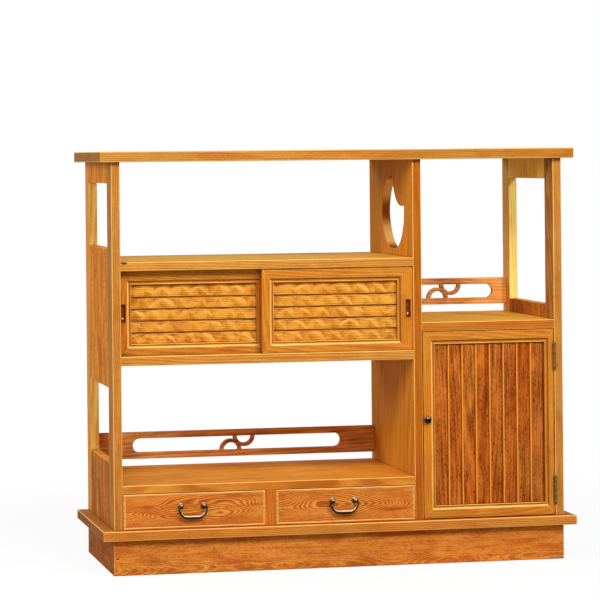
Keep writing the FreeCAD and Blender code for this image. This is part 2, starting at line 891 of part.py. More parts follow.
front_door_y = case_front + s.sliding_setback
rear_door_y = front_door_y + s.sliding_door_thickness + s.track_gap
sliding_z = sill_top + s.sliding_sill_gap
rear_door_x = left_inner + s.sliding_side_gap
front_door_x = divider_left - s.sliding_side_gap - sliding_width
sliding_door("rear_door", (rear_door_x, rear_door_y, sliding_z), False)
sliding_door("front_door", (front_door_x, front_door_y, sliding_z), True)

# hinged door: upright boards in a moulded frame
leaf_pair = s.hinge_leaf_thickness * 2 + s.hinge_leaf_gap
door_left = divider_right + s.door_free_gap
door_right = right_inner - leaf_pair
door_y = case_front + s.door_setback
door_z = slab_top + s.door_sill_gap
door_frame = frame_of(door_right - door_left, cupboard_opening_height - s.door_sill_gap - s.door_head_gap,
                      s.door_thickness, s.door_left_stile_width, s.door_right_stile_width,
                      s.door_bottom_rail_width, s.door_top_rail_width)
door_place = (door_left, door_y, door_z)
knob_hole = (s.knob_inset, zero, door_frame.height * knob_lift_share)
door_stile = stile("door_left_stile", door_place, door_frame, False)
add_rod(door_stile, "Subtractive", knob_hole, s.knob_shank_radius, s.knob_shank_length, "y")
stile("door_right_stile", door_place, door_frame, True)
group("door_rails", [rail("door_low_rail", door_place, door_frame, False),
                     rail("door_high_rail", door_place, door_frame, True)])


def upright(number):
    # its left edge stands forward with a chamfer; its ends and the outer edges sit in the grooves
    frame = door_frame
    bottom = frame.low - slat_seat
    pitch = (frame.width - frame.left - frame.right) / s.upright_count
    left = frame.left + pitch * number
    right = left + pitch
    thin = slat_back - s.slat_thin_edge
    outline = [
        (left, slat_front + s.upright_chamfer),
        (left + s.upright_chamfer, slat_front),
        (right, thin),
        (right, slat_back),
        (left, slat_back),
    ]
    if number == 0:
        seated = left - slat_seat
        outline = [(seated, slat_front + s.upright_chamfer)] + outline[:4] + [(seated, slat_back)]
    if number == sizes["upright_count"] - 1:
        seated = right + slat_seat
        outline = outline[:3] + [(seated, thin), (seated, slat_back)] + outline[4:]
    body = new_body(f"door_upright_{number + 1}", (door_place[0], door_place[1], door_place[2] + bottom))
    pad(body, add_sketch(body, "XY_Plane", outline), frame.height - frame.top + slat_seat - bottom)
    return body


group("door_uprights", [upright(number) for number in range(sizes["upright_count"])])

# turned knob, its shank in the free stile
knob = new_body("door_knob", tuple(start + offset for start, offset in zip(door_place, knob_hole)))
turn(knob, add_sketch(knob, "XY_Plane", [
    (zero, s.knob_shank_length),
    (s.knob_shank_radius, s.knob_shank_length),
    (s.knob_shank_radius, zero),
] + [(s.knob_radius * out, -s.knob_length * up) for out, up in knob_shares] + [
    (zero, -s.knob_length),
]), "V_Axis")
keep(knob, "door_knob")

# butt hinges: two knuckles on the cabinet leaf, one on the door leaf, and a pin through all three
barrel_x = right_inner - leaf_pair / 2
barrel_y = case_front - s.hinge_barrel_reach
knuckle = (s.hinge_length - s.hinge_knuckle_gap * 2) / 3
hinge_starts = [door_z + s.hinge_bottom_inset,
                door_z + door_frame.height - s.hinge_top_inset - s.hinge_length]


def hinge_leaf(name, x, leaf_front, z, knuckle_starts):
    body = new_body(name, (x, barrel_y, z))
    inside_y = leaf_front - barrel_y
    inside_x = barrel_x - x
    add_block(body, "Additive", (zero, inside_y, zero),
              (s.hinge_leaf_thickness, case_front - barrel_y + s.hinge_leaf_width, s.hinge_length))
    for start in knuckle_starts:
        add_block(body, "Additive", (zero, zero, start), (s.hinge_leaf_thickness, inside_y, start + knuckle))
        add_rod(body, "Additive", (inside_x, zero, start), s.hinge_barrel_radius, knuckle, "z")
    add_rod(body, "Subtractive", (inside_x, zero, -s.overrun), s.hinge_pin_radius + s.hinge_pin_clearance,
            s.hinge_length + s.overrun * 2, "z")
    return body


def hinge_pin(name, z):
    body = new_body(name, (barrel_x, barrel_y, z))
    add_rod(body, "Additive", (zero, zero, zero), s.hinge_pin_radius, s.hinge_length, "z")
    return body


group("hinge_frame_leaves", [
    hinge_leaf(f"hinge_frame_leaf_{i}", right_inner - s.hinge_leaf_thickness, case_front, z,
               [zero, (knuckle + s.hinge_knuckle_gap) * 2])
    for i, z in enumerate(hinge_starts, 1)])
group("hinge_door_leaves", [
    hinge_leaf(f"hinge_door_leaf_{i}", door_right, door_y, z, [knuckle + s.hinge_knuckle_gap])
    for i, z in enumerate(hinge_starts, 1)])
group("hinge_pins", [hinge_pin(f"hinge_pin_{i}", z) for i, z in enumerate(hinge_starts, 1)])

# catch under the right shelf and its plate on the back of the door
catch_left = divider_right + s.catch_inset
plate_y = door_y + s.door_thickness
catch_y = plate_y + s.catch_plate_thickness + s.catch_gap
board("door_catch", (catch_left, catch_y, cupboard_head - s.catch_height),
      (catch_left + s.catch_length, catch_y + s.catch_depth, cupboard_head))
plate_left = catch_left + (s.catch_length - s.catch_plate_length) / 2
plate_top = door_z + door_frame.height - s.catch_gap
board("door_catch_plate", (plate_left, plate_y, plate_top - s.catch_plate_height),
      (plate_left + s.catch_plate_length, catch_y - s.catch_gap, plate_top))


# drawers: a front with mitred beads let in round its edge, sides, back and bottom behind it
def bead_strip(name, place, width, height, edge):
    # one of the four beads; its section is drawn from the outer edge inwards
    body = new_body(name, place)
    nose = s.bead_proud
    section = [
        (zero, s.bead_rebate),
        (zero, zero),
        (zero, -nose / 3, s.bead_face / 2, -nose),
        (s.bead_face, -nose / 3),
        (s.bead_face, s.bead_rebate),
    ]
    on_rail = edge in ("low", "top")
    if on_rail:
        far = height
        puts = {"low": lambda u, v: (v, u), "top": lambda u, v: (v, far - u)}
        pad(body, add_sketch(body, "YZ_Plane", placed(section, puts[edge])), width)
    else:
        far = width
        puts = {"left": lambda u, v: (u, v), "right": lambda u, v: (far - u, v)}
        pad(body, add_sketch(body, "XY_Plane", placed(section, puts[edge])), height)
    corners = {
        "low": ((False, False), (True, False)),
        "top": ((False, True), (True, True)),
        "left": ((False, False), (False, True)),
        "right": ((True, False), (True, True)),
    }
    for right_side, top_side in corners[edge]:
        def at(u, v):
            return (width - u if right_side else u), (height - v if top_side else v)
        far_end = s.bead_face + s.overrun
        slope = [at(zero, zero), at(far_end, far_end)]
        if on_rail:
            rest = [at(-s.overrun, far_end), at(-s.overrun, zero)]
        else:
            rest = [at(far_end, -s.overrun), at(zero, -s.overrun)]
        pocket(body, add_sketch(body, "XZ_Plane", slope + rest), (s.bead_rebate + s.overrun) * 2)
    return body


def drawer(side, opening_left, opening_right):
    width = opening_right - opening_left - s.drawer_gap * 2
    height = s.drawer_opening_height - s.drawer_gap - s.drawer_run_gap
    left = opening_left + s.drawer_gap
    low = slab_top + s.drawer_run_gap
    place = (left, case_front, low)
    label = f"{side}_drawer"
    front_back = case_front + s.drawer_front_thickness
    lap_y = front_back - s.drawer_lap
    drawer_back = back - s.drawer_end_space
    groove_low = low + s.drawer_bottom_lift
    groove_high = groove_low + s.drawer_bottom_thickness
    side_top = low + s.drawer_side_height
    inner_left = left + s.drawer_side_thickness
    inner_right = left + width - s.drawer_side_thickness
    right = left + width
    top = low + height
    rebate_back = case_front + s.bead_rebate
    face = s.bead_face
    front_body = board(f"{label}_front", place, (right, front_back, top), cuts=[
        ((left, case_front, low), (left + face, rebate_back, top)),
        ((right - face, case_front, low), (right, rebate_back, top)),
        ((left, case_front, low), (right, rebate_back, low + face)),
        ((left, case_front, top - face), (right, rebate_back, top)),
        ((left, lap_y, low), (inner_left, front_back, side_top)),
        ((inner_right, lap_y, low), (right, front_back, side_top)),
        ((inner_left, front_back - s.drawer_bottom_groove, groove_low),
         (inner_right, front_back, groove_high)),
    ])
    handle_x = (opening_left + opening_right) / 2 - s.handle_shift
    handle_z = slab_top + s.handle_lift
    half_bar = s.post_bar_width / 2
    for hand in (-1, 1):
        post_x = handle_x + s.handle_spacing / 2 * hand
        hole_low = (post_x - half_bar, case_front - s.overrun, handle_z - half_bar)
        hole_high = (post_x + half_bar, case_front + s.post_bar_length, handle_z + half_bar)
        add_block(front_body, "Subtractive", corner(hole_low, place), corner(hole_high, place))
    group(f"{label}_beads", [bead_strip(f"{label}_{edge}_bead", place, width, height, edge)
                             for edge in ("low", "top", "left", "right")])
    deep = s.drawer_bottom_groove
    group(f"{label}_box", [
        board(f"{label}_left_side", (left, lap_y, low), (inner_left, drawer_back, side_top),
              cuts=[((inner_left - deep, lap_y, groove_low), (inner_left, drawer_back, groove_high))]),
        board(f"{label}_right_side", (inner_right, lap_y, low), (right, drawer_back, side_top),
              cuts=[((inner_right, lap_y, groove_low), (inner_right + deep, drawer_back, groove_high))]),
        board(f"{label}_back", (inner_left, drawer_back - s.drawer_side_thickness, groove_high),
              (inner_right, drawer_back, side_top)),
        board(f"{label}_bottom", (inner_left - deep, front_back - deep, groove_low),
              (inner_right + deep, drawer_back, groove_high)),
    ])
    stop_left = (opening_left + opening_right - s.stop_block_length) / 2
    stop = board(f"{side}_stop", (stop_left, drawer_back, slab_top),
                 (stop_left + s.stop_block_length, drawer_back + s.stop_block_depth,
                  slab_top + s.stop_block_height))
    group(f"{side}_handle_posts", [
        handle_post(f"{side}_post_{number}", handle_x + s.handle_spacing / 2 * hand, handle_z)
        for number, hand in ((1, -1), (2, 1))])
    bail(f"{side}_bail", handle_x, handle_z)
    return stop


def octagon(middle_u, middle_v, half):
    # an eight-sided outline with its flats half a width from the middle
    near = half * octagon_corner_share
    corners = [(half, -near), (half, near), (near, half), (-near, half),
               (-half, near), (-half, -near), (-near, -half), (near, -half)]
    return [(middle_u + u, middle_v + v) for u, v in corners]


def handle_post(name, x, z):
    # a plate on the drawer front and a square bar that ends in an eye for the pin of the bail
    body = new_body(name, (x, case_front, z))
    half_bar = s.post_bar_width / 2
    add_block(body, "Additive", (-half_bar, -s.handle_reach, -half_bar),
              (half_bar, s.post_bar_length, half_bar))
    add_rod(body, "Additive", (zero, -s.post_plate_thickness, zero), s.post_plate_radius,
            s.post_plate_thickness, "y")
    eye = add_sketch(body, "YZ_Plane", octagon(-s.handle_reach, zero, s.post_eye_radius))
    pad(body, eye, s.post_eye_radius * 2, both_ways=True)
    half_hole = s.post_eye_radius + s.overrun
    add_rod(body, "Subtractive", (-half_hole, -s.handle_reach, zero),
            s.bail_pin_radius + s.bail_pin_clearance, half_hole * 2, "x")
    return body


def bail(label, x, z):
    # a bent eight-sided bar that hangs from the two posts, with a belly along its lowest stretch
    body = new_body(label, (x, case_front - s.handle_reach, z))
    belly = add_sketch(body, "YZ_Plane", octagon(zero, -s.bail_drop, s.bail_belly_radius))
    pad(body, belly, s.bail_flat * belly_share, both_ways=True)
    ease(body, "Chamfer", s.bail_belly_chamfer, lambda edge: not is_straight(edge, "x"))
    leg_x = s.handle_spacing / 2 + s.post_eye_radius + s.bail_side_gap + s.bail_radius
    right_half = [
        (leg_x, s.bail_radius),
        (leg_x, -s.bail_leg),
        (s.bail_elbow_out, -s.bail_elbow_drop),
        (s.bail_flat / 2, -s.bail_drop),
    ]
    path = right_half + [(-u, v) for u, v in reversed(right_half)]
    spine = add_sketch(body, "XZ_Plane", path, closed=False)
    section = add_sketch(body, "XY_Plane", octagon(leg_x, zero, s.bail_radius))
    document.recompute()
    sweep = body.newObject("PartDesign::AdditivePipe", f"{label}_bar")
    sweep.Profile = section
    sweep.Spine = (spine, [f"Edge{i + 1}" for i in range(len(spine.Shape.Edges))])
    sweep.Transition = "Right corner"
    pin_reach = s.bail_radius + s.bail_side_gap + s.post_eye_radius * 2
    add_rod(body, "Additive", (leg_x - pin_reach, zero, zero), s.bail_pin_radius, pin_reach, "x")
    add_rod(body, "Additive", (-leg_x, zero, zero), s.bail_pin_radius, pin_reach, "x")
    return keep(body, label)


stops = [drawer("left", left_inner, mullion_left), drawer("right", mullion_right, divider_left)]
group("drawer_stops", stops)

# every feature and every piece has to come out whole
document.recompute()
for thing in document.Objects:
    for state in thing.State:
        if state in ("Invalid", "Error"):
            raise RuntimeError(f"{thing.Name} did not build: {state}")
os.makedirs("parts", exist_ok=True)
for piece in nodes:
    shape = piece.Shape
    if shape.isNull() or not shape.isValid():
        raise RuntimeError(f"{piece.Label} has no sound shape")
    shape.exportStep(f"parts/{piece.Label}.step")
print(f"{len(nodes)} parts written")
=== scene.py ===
import math

import bpy
import numpy as np
from mathutils import Matrix, Vector


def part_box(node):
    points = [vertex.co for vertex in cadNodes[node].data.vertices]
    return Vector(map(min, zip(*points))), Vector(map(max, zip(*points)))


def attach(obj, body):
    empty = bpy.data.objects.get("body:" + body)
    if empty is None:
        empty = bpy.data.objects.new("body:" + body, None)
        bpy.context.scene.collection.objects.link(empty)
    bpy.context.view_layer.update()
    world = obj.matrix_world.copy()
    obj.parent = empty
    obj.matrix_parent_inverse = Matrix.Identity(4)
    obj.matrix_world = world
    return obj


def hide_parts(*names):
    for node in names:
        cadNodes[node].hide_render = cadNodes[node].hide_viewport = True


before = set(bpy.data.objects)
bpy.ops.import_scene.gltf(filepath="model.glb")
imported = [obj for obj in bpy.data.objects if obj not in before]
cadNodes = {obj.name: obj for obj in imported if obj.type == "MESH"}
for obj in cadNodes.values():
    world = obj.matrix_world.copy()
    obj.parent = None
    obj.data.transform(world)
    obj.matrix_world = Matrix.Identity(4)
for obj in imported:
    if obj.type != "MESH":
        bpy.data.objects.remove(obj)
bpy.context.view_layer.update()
scene = bpy.context.scene


# short ways to make and link nodes
def addNode(tree, kind, inputs=None, **settings):
    node = tree.nodes.new(kind)
    for name, value in settings.items():
        setattr(node, name, value)
    for key, value in (inputs or {}).items():
        if isinstance(value, bpy.types.NodeSocket):
            tree.links.new(value, node.inputs[key])
        else:
            node.inputs[key].default_value = value
    return node


def calc(tree, operation, *values, clamp=False):
    node = addNode(tree, "ShaderNodeMath", dict(enumerate(values)), operation=operation, use_clamp=clamp)
    return node.outputs[0]


def vectorCalc(tree, operation, *values, output=0):
    return addNode(tree, "ShaderNodeVectorMath", dict(enumerate(values)), operation=operation).outputs[output]


def blend(tree, factor, first, second, mode="MIX"):
    node = addNode(tree, "ShaderNodeMix", {0: factor, 6: first, 7: second}, data_type="RGBA", blend_type=mode)
    return node.outputs[2]


def ease(tree, value, low, high):
    # 0 below low, 1 above high, smooth between them
    return addNode(tree, "ShaderNodeMapRange", {"Value": value, "From Min": low, "From Max": high},
                   interpolation_type="SMOOTHSTEP").outputs[0]


def noise(tree, vector, scale, detail=2.0, roughness=0.5, distortion=0.0, output="Fac"):
    # the scale is one number for each axis, in bumps per metre
    return addNode(tree, "ShaderNodeTexNoise",
                   {"Vector": vectorCalc(tree, "MULTIPLY", vector, scale), "Scale": 1.0, "Detail": detail,
                    "Roughness": roughness, "Distortion": distortion}).outputs[output]


def centred(tree, value):
    return calc(tree, "SUBTRACT", value, 0.5)


def newGroup(name, inputs, outputs):
    tree = bpy.data.node_groups.new(name, "ShaderNodeTree")
    kinds = {float: "NodeSocketFloat", 3: "NodeSocketVector", 4: "NodeSocketColor"}
    for label, start in inputs.items():
        kind = kinds[float] if isinstance(start, (int, float)) else kinds[len(start)]
        tree.interface.new_socket(label, in_out="INPUT", socket_type=kind).default_value = start
    for label, kind in outputs.items():
        tree.interface.new_socket(label, in_out="OUTPUT", socket_type=kinds[kind])
    return tree, addNode(tree, "NodeGroupInput").outputs, addNode(tree, "NodeGroupOutput").inputs


# noise scales of the wood, in bumps per metre along the grain and across it, and the tints of its leanings
figureScales = {"wander": (2.2, 15, 15), "fine": (20, 1000, 1000), "coarse": (6, 300, 300), "mottle": (11, 34, 34),
                "pores": (150, 480, 480), "streaks": (5, 44, 44), "lean": (2.6, 12, 12)}
leanings = {"red": (1.03, 0.86, 0.72, 1), "gold": (0.97, 1.1, 1.22, 1)}
middleTone = 0.45


def buildWoodFigure():
    # growth rings are shells about a pith line that runs along X. A ring is the whole part of
    # (distance from the pith + a slow swing along the grain + tilt * X) * rings, so a face close to
    # the pith shows nested arches, and one far from it shows straight lines
    tree, given, put = newGroup("woodFigure", {
        "Vector": (0, 0, 0), "Normal": (0, 0, 1), "Grain": (1, 0, 0), "Pith": (0, 0.2, 0.3),
        "Light": (0.8, 0.5, 0.2, 1), "Dark": (0.5, 0.2, 0.05, 1), "Red": (0.4, 0.1, 0.03, 1),
        "End": (0.6, 0.6, 0.7, 1), "Face": (0, 0, 0), "Painted Light Tint": (1, 1, 1, 1),
        "Rings": 150.0, "Tilt": 0.05, "Swing": 0.0, "Swing Pitch": 3.0, "Warp": 0.02, "Lines": 0.5,
        "Mottle": 0.3, "Pores": 0.2, "Fibre": 0.2, "Hue": 0.5, "Streaks": 0.4, "Extra": 0.0,
    }, {"Color": 4, "Height": float, "Shine": float})
    place = given["Vector"]
    wander = vectorCalc(tree, "SUBTRACT", noise(tree, place, figureScales["wander"], output="Color"), (0.5, 0.5, 0.5))
    wander = addNode(tree, "ShaderNodeVectorMath", {0: wander, "Scale": given["Warp"]}, operation="SCALE")
    bent = vectorCalc(tree, "ADD", place, wander.outputs[0])
    across = vectorCalc(tree, "MULTIPLY", vectorCalc(tree, "SUBTRACT", bent, given["Pith"]), (0, 1, 1))
    radius = vectorCalc(tree, "LENGTH", across, output="Value")
    along = addNode(tree, "ShaderNodeSeparateXYZ", {0: place}).outputs[0]
    slow = vectorCalc(tree, "MULTIPLY", place, (1, 0.3, 0.3))
    slow = addNode(tree, "ShaderNodeTexNoise", {"Vector": slow, "Scale": given["Swing Pitch"], "Detail": 1.0})
    slow = centred(tree, slow.outputs["Fac"])
    radius = calc(tree, "ADD", radius, calc(tree, "MULTIPLY", slow, given["Swing"]))
    radius = calc(tree, "ADD", radius, calc(tree, "MULTIPLY", along, given["Tilt"]))
    turns = calc(tree, "MULTIPLY", radius, given["Rings"])
    year = calc(tree, "FRACT", turns)
    # late wood darkens slowly through the year and stops short at its end
    late = calc(tree, "MULTIPLY", ease(tree, year, 0.15, 0.7), calc(tree, "SUBTRACT", 1.0, ease(tree, year, 0.85, 1.0)))
    # rings differ in strength
    strength = noise(tree, calc(tree, "FLOOR", turns), (0.37, 0.37, 0.37), detail=0.0)
    late = calc(tree, "MULTIPLY", late, calc(tree, "ADD", 0.5, strength))
    fine, coarse = (centred(tree, noise(tree, place, figureScales[key])) for key in ("fine", "coarse"))
    fibre = calc(tree, "ADD", fine, coarse)
    mottle = noise(tree, place, figureScales["mottle"], detail=3.0, distortion=0.9)
    pores = ease(tree, noise(tree, place, figureScales["pores"], detail=1.0), 0.54, 0.68)
    pores = calc(tree, "MULTIPLY", pores, calc(tree, "ADD", 0.4, mottle))
    tone = calc(tree, "MULTIPLY", centred(tree, late), given["Lines"])
    for share, label in ((calc(tree, "MULTIPLY", centred(tree, mottle), 2.0), "Mottle"), (pores, "Pores"),
                         (fibre, "Fibre")):
        tone = calc(tree, "ADD", tone, calc(tree, "MULTIPLY", share, given[label]))
    tone = calc(tree, "ADD", tone, given["Extra"])
    tone = calc(tree, "ADD", tone, middleTone, clamp=True)
    colour = blend(tree, tone, given["Light"], given["Dark"])
    streaks = ease(tree, noise(tree, place, figureScales["streaks"], detail=2.0, distortion=0.6), 0.55, 0.72)
    colour = blend(tree, calc(tree, "MULTIPLY", streaks, given["Streaks"]), colour, given["Red"])
    # some stretches lean to red, others to gold
    lean = ease(tree, noise(tree, place, figureScales["lean"], detail=1.0), 0.3, 0.7)
    lean = blend(tree, lean, leanings["red"], leanings["gold"])
    colour = blend(tree, given["Hue"], colour, blend(tree, 1.0, colour, lean, "MULTIPLY"))
    # faces turned towards Face get a tint that paints light onto them, lifting tops, reveals and left-facing sides; end
    # grain gets a tint of its own
    facing = vectorCalc(tree, "DOT_PRODUCT", given["Normal"], given["Face"], output="Value")
    tinted = blend(tree, 1.0, colour, given["Painted Light Tint"], "MULTIPLY")
    colour = blend(tree, ease(tree, facing, 0.7, 0.9), colour, tinted)
    facing = calc(tree, "ABSOLUTE", vectorCalc(tree, "DOT_PRODUCT", given["Normal"], given["Grain"], output="Value"))
    tinted = blend(tree, 1.0, colour, given["End"], "MULTIPLY")
    colour = blend(tree, ease(tree, facing, 0.8, 0.97), colour, tinted)
    tree.links.new(colour, put["Color"])
    tree.links.new(calc(tree, "ADD", calc(tree, "MULTIPLY", late, 0.4), fibre), put["Height"])
    shine = calc(tree, "ADD", calc(tree, "MULTIPLY", centred(tree, mottle), 0.2), calc(tree, "MULTIPLY", fibre, 0.12))
    tree.links.new(shine, put["Shine"])
    return tree


# between which measures each mark of an edge sets in
edgeLimits = {"corner": (0.2, 0.75), "under": (-0.3, 0.1), "chamfer": (0.85, 0.985), "arris": (0.01, 0.12)}


def buildEdgeHighlightAndShade():
    # a painted highlight on arrises, where a rounded normal turns away from the flat one, and painted shade in the
    # corners and seams, where ambient occlusion finds faces of this piece or of others close by. Under is the share of
    # the highlight kept on arrises that face down or left, away from the key lamp, and what it lacks of 1 turns to
    # painted shade
    tree, given, put = newGroup("edgeHighlightAndShade", {"Radius": 0.001, "Reach": 0.008, "Normal": (0, 0, 1), "Under": 1.0},
                                {"Normal": 3, "Arris": float, "Corner": float})
    rounded = addNode(tree, "ShaderNodeBevel", {"Radius": given["Radius"]}, samples=6).outputs[0]
    flat = addNode(tree, "ShaderNodeNewGeometry").outputs["True Normal"]
    turn = calc(tree, "SUBTRACT", 1.0, vectorCalc(tree, "DOT_PRODUCT", rounded, flat, output="Value"))
    # painted shade: how far the reach round a point is closed in by this piece or by others
    shade = addNode(tree, "ShaderNodeAmbientOcclusion", {"Distance": given["Reach"]}, samples=8).outputs["AO"]
    corner = ease(tree, calc(tree, "SUBTRACT", 1.0, shade), *edgeLimits["corner"])
    sides = addNode(tree, "ShaderNodeSeparateXYZ", {0: vectorCalc(tree, "ABSOLUTE", given["Normal"])}).outputs
    # arrises facing down or left, away from the key lamp, lose the painted highlight and turn to painted shade
    rise = vectorCalc(tree, "DOT_PRODUCT", given["Normal"], (1, 0, 1), output="Value")
    awayFromKey = calc(tree, "SUBTRACT", 1.0, ease(tree, rise, *edgeLimits["under"]))
    awayFromKey = calc(tree, "MULTIPLY", awayFromKey, calc(tree, "SUBTRACT", 1.0, given["Under"]))
    # a chamfer or a rounding is where the piece's own normal leaves all three axes
    square = calc(tree, "MAXIMUM", calc(tree, "MAXIMUM", sides[0], sides[1]), sides[2])
    chamfer = calc(tree, "SUBTRACT", 1.0, ease(tree, square, *edgeLimits["chamfer"]))
    arris = calc(tree, "MAXIMUM", ease(tree, turn, *edgeLimits["arris"]), chamfer)
    for lost in (corner, awayFromKey):
        arris = calc(tree, "MULTIPLY", arris, calc(tree, "SUBTRACT", 1.0, lost))
    corner = calc(tree, "MAXIMUM", corner, calc(tree, "MULTIPLY", chamfer, awayFromKey))
    tree.links.new(rounded, put["Normal"])
    tree.links.new(arris, put["Arris"])
    tree.links.new(corner, put["Corner"])
    return tree


woodFigure = buildWoodFigure()
edgeHighlightAndShade = buildEdgeHighlightAndShade()
# the grain's direction, and the turn that lays it along X
grainTurns = {"x": ((1, 0, 0), (0, 0, 0)), "y": ((0, 1, 0), (0, 0, -math.pi / 2)),
              "z": ((0, 0, 1), (0, math.pi / 2, 0))}


def linear(red, green, blue):
    # a screen colour of 0 to 255 as light
    light = (((c / 255 + 0.055) / 1.055) ** 2.4 if c > 10 else c / 255 / 12.92 for c in (red, green, blue))
    return (*light, 1.0)


def newMaterial(name):
    material = bpy.data.materials.new(name)
    material.use_nodes = True
    tree = material.node_tree
    shader = [node for node in tree.nodes if node.type == "BSDF_PRINCIPLED"][0]
    return material, tree, shader


def paint(material, names):
    for name in names:
        mesh = cadNodes[name].data
        mesh.materials.clear()
        mesh.materials.append(material)


# lengths in metres, rings per metre, colours as on a screen; the rest are shares
woodDefaults = {
    "grain": "x", "offset": (0, 0, 0), "pith": (0, 0.25, 0.3), "rings": 260, "tilt": 0.03, "swing": 0.01,
    "swingPitch": 3, "warp": 0.02, "lines": 0.55, "mottle": 0.5, "pores": 0.2, "fibre": 0.4, "hue": 0.4,
    "streaks": 0.3, "light": (238, 170, 76), "dark": (186, 104, 36), "red": (168, 74, 26), "end": (0.6, 0.62, 0.8),
    "face": (0, 0, 0), "paintedLightTint": (1, 1, 1), "arris": 0.7, "arrisColour": (248, 196, 108), "corner": 0.6,
    "cornerColour": (100, 48, 14), "radius": 0.0018, "reach": 0.007, "under": 1.0, "rough": 0.6, "specular": 0.02,
    "bump": 0.12, "bumpDepth": 0.0006, "knotColour": (88, 40, 10),
}
# how far the next board of a set lies in the log, in metres
boardShift = {"X": 1.37, "Z": 0.23}


def makeWood(name, on, boards=None, extra=None, knots=(), **changes):
    # boards gives a number for each board, cut from its own place in the log; extra darkens a spot;
    # knots are (X, Y, Z, radius), twice as long along X
    look = {**woodDefaults, **changes}
    material, tree, shader = newMaterial(name)
    axis, turn = grainTurns[look["grain"]]
    spot = addNode(tree, "ShaderNodeTexCoord").outputs
    place = addNode(tree, "ShaderNodeMapping",
                    {"Vector": spot["Object"], "Location": look["offset"], "Rotation": turn}).outputs[0]
    if boards:
        board = boards(tree, spot["Object"])
        alongLog, upLog = (calc(tree, "MULTIPLY", board, boardShift[key]) for key in ("X", "Z"))
        shift = addNode(tree, "ShaderNodeCombineXYZ", {0: alongLog, 2: upLog}).outputs[0]
        place = vectorCalc(tree, "ADD", place, shift)
    figure = addNode(tree, "ShaderNodeGroup", node_tree=woodFigure)
    values = {"Grain": axis, "Pith": look["pith"], "Light": linear(*look["light"]), "Dark": linear(*look["dark"]),
              "Red": linear(*look["red"]), "End": (*look["end"], 1), "Rings": look["rings"], "Tilt": look["tilt"],
              "Swing": look["swing"], "Swing Pitch": look["swingPitch"], "Warp": look["warp"], "Lines": look["lines"],
              "Mottle": look["mottle"], "Pores": look["pores"], "Fibre": look["fibre"], "Hue": look["hue"],
              "Streaks": look["streaks"], "Face": look["face"], "Painted Light Tint": (*look["paintedLightTint"], 1)}
    for label, value in values.items():
        figure.inputs[label].default_value = value
    if extra:
        tree.links.new(extra(tree, spot["Object"]), figure.inputs["Extra"])
    tree.links.new(place, figure.inputs["Vector"])
    tree.links.new(spot["Normal"], figure.inputs["Normal"])
    paintedEdges = addNode(tree, "ShaderNodeGroup", node_tree=edgeHighlightAndShade)
    for label in ("Radius", "Reach", "Under"):
        paintedEdges.inputs[label].default_value = look[label.lower()]
    tree.links.new(spot["Normal"], paintedEdges.inputs["Normal"])
    colour = figure.outputs["Color"]
    # arrises get a painted highlight, and corners and seams a painted shade
    for label in ("Arris", "Corner"):
        key = label.lower()
        share = calc(tree, "MULTIPLY", paintedEdges.outputs[label], look[key])
        colour = blend(tree, share, colour, linear(*look[f"{key}Colour"]))
    for *centre, radius in knots:
        off = vectorCalc(tree, "MULTIPLY", vectorCalc(tree, "SUBTRACT", spot["Object"], centre), (0.5, 1, 1))
        ring = ease(tree, vectorCalc(tree, "LENGTH", off, output="Value"), radius * 0.5, radius)
        colour = blend(tree, ring, linear(*look["knotColour"]), colour)
    tree.links.new(colour, shader.inputs["Base Color"])
    tree.links.new(calc(tree, "ADD", figure.outputs["Shine"], look["rough"]), shader.inputs["Roughness"])
    bumped = addNode(tree, "ShaderNodeBump", {"Height": figure.outputs["Height"], "Strength": look["bump"],
                                              "Distance": look["bumpDepth"], "Normal": paintedEdges.outputs["Normal"]})
    tree.links.new(bumped.outputs[0], shader.inputs["Normal"])
    shader.inputs["Specular IOR Level"].default_value = look["specular"]
    paint(material, on)
    return material


# clouding of the metals: bumps per metre, where it sets in, and what it adds to the roughness
metalCloud = {"scale": (260, 260, 260), "mask": (0.35, 0.7), "rough": 0.2}


def makeMetal(name, on, colour, wearAndHighlight, rough, metallic=0.9, specular=0.5, highlitSlopes=None):
    # the last argument gives the slopes of the normal's Z between which the upper side turns to the second colour, a
    # painted highlight; without it the second colour comes in random clouds
    material, tree, shader = newMaterial(name)
    spot = addNode(tree, "ShaderNodeTexCoord").outputs
    cloud = noise(tree, spot["Object"], metalCloud["scale"], detail=3.0)
    mask = ease(tree, cloud, *metalCloud["mask"])
    if highlitSlopes:
        rise = addNode(tree, "ShaderNodeSeparateXYZ", {0: spot["Normal"]}).outputs[2]
        mask = ease(tree, calc(tree, "ADD", rise, calc(tree, "MULTIPLY", centred(tree, cloud), 0.5)), *highlitSlopes)
    tree.links.new(blend(tree, mask, linear(*colour), linear(*wearAndHighlight)), shader.inputs["Base Color"])
    dullness = calc(tree, "MULTIPLY", cloud, metalCloud["rough"])
    tree.links.new(calc(tree, "ADD", rough, dullness), shader.inputs["Roughness"])
    shader.inputs["Metallic"].default_value = metallic
    shader.inputs["Specular IOR Level"].default_value = specular
    paint(material, on)
    return material


# tone shifts that the grain alone doesn't give: the darkening of the top board for each metre to the right, painted
# shade in carved hollows and on their sides that face left, away from the key lamp, and painted shade on the hinged
# door's boards beside the next one
stainAndShade = {"top": 0.35, "hollow": 0.5, "shadedSide": 0.32, "besideNext": 0.6, "besideNextFrom": (0.86, 0.97)}
# where the hinged door's boards start along X, and how wide each is
uprightSizes = {"start": 0.212, "pitch": 0.0314125}


def alongX(tree, place):
    return addNode(tree, "ShaderNodeSeparateXYZ", {0: place}).outputs[0]


def attribute(tree, name):
    return addNode(tree, "ShaderNodeAttribute", attribute_name=name).outputs["Fac"]


def topTone(tree, place):
    # the long top board darkens towards the right
    return calc(tree, "MULTIPLY", alongX(tree, place), stainAndShade["top"])


def slatNumber(tree, place):
    return attribute(tree, "board")


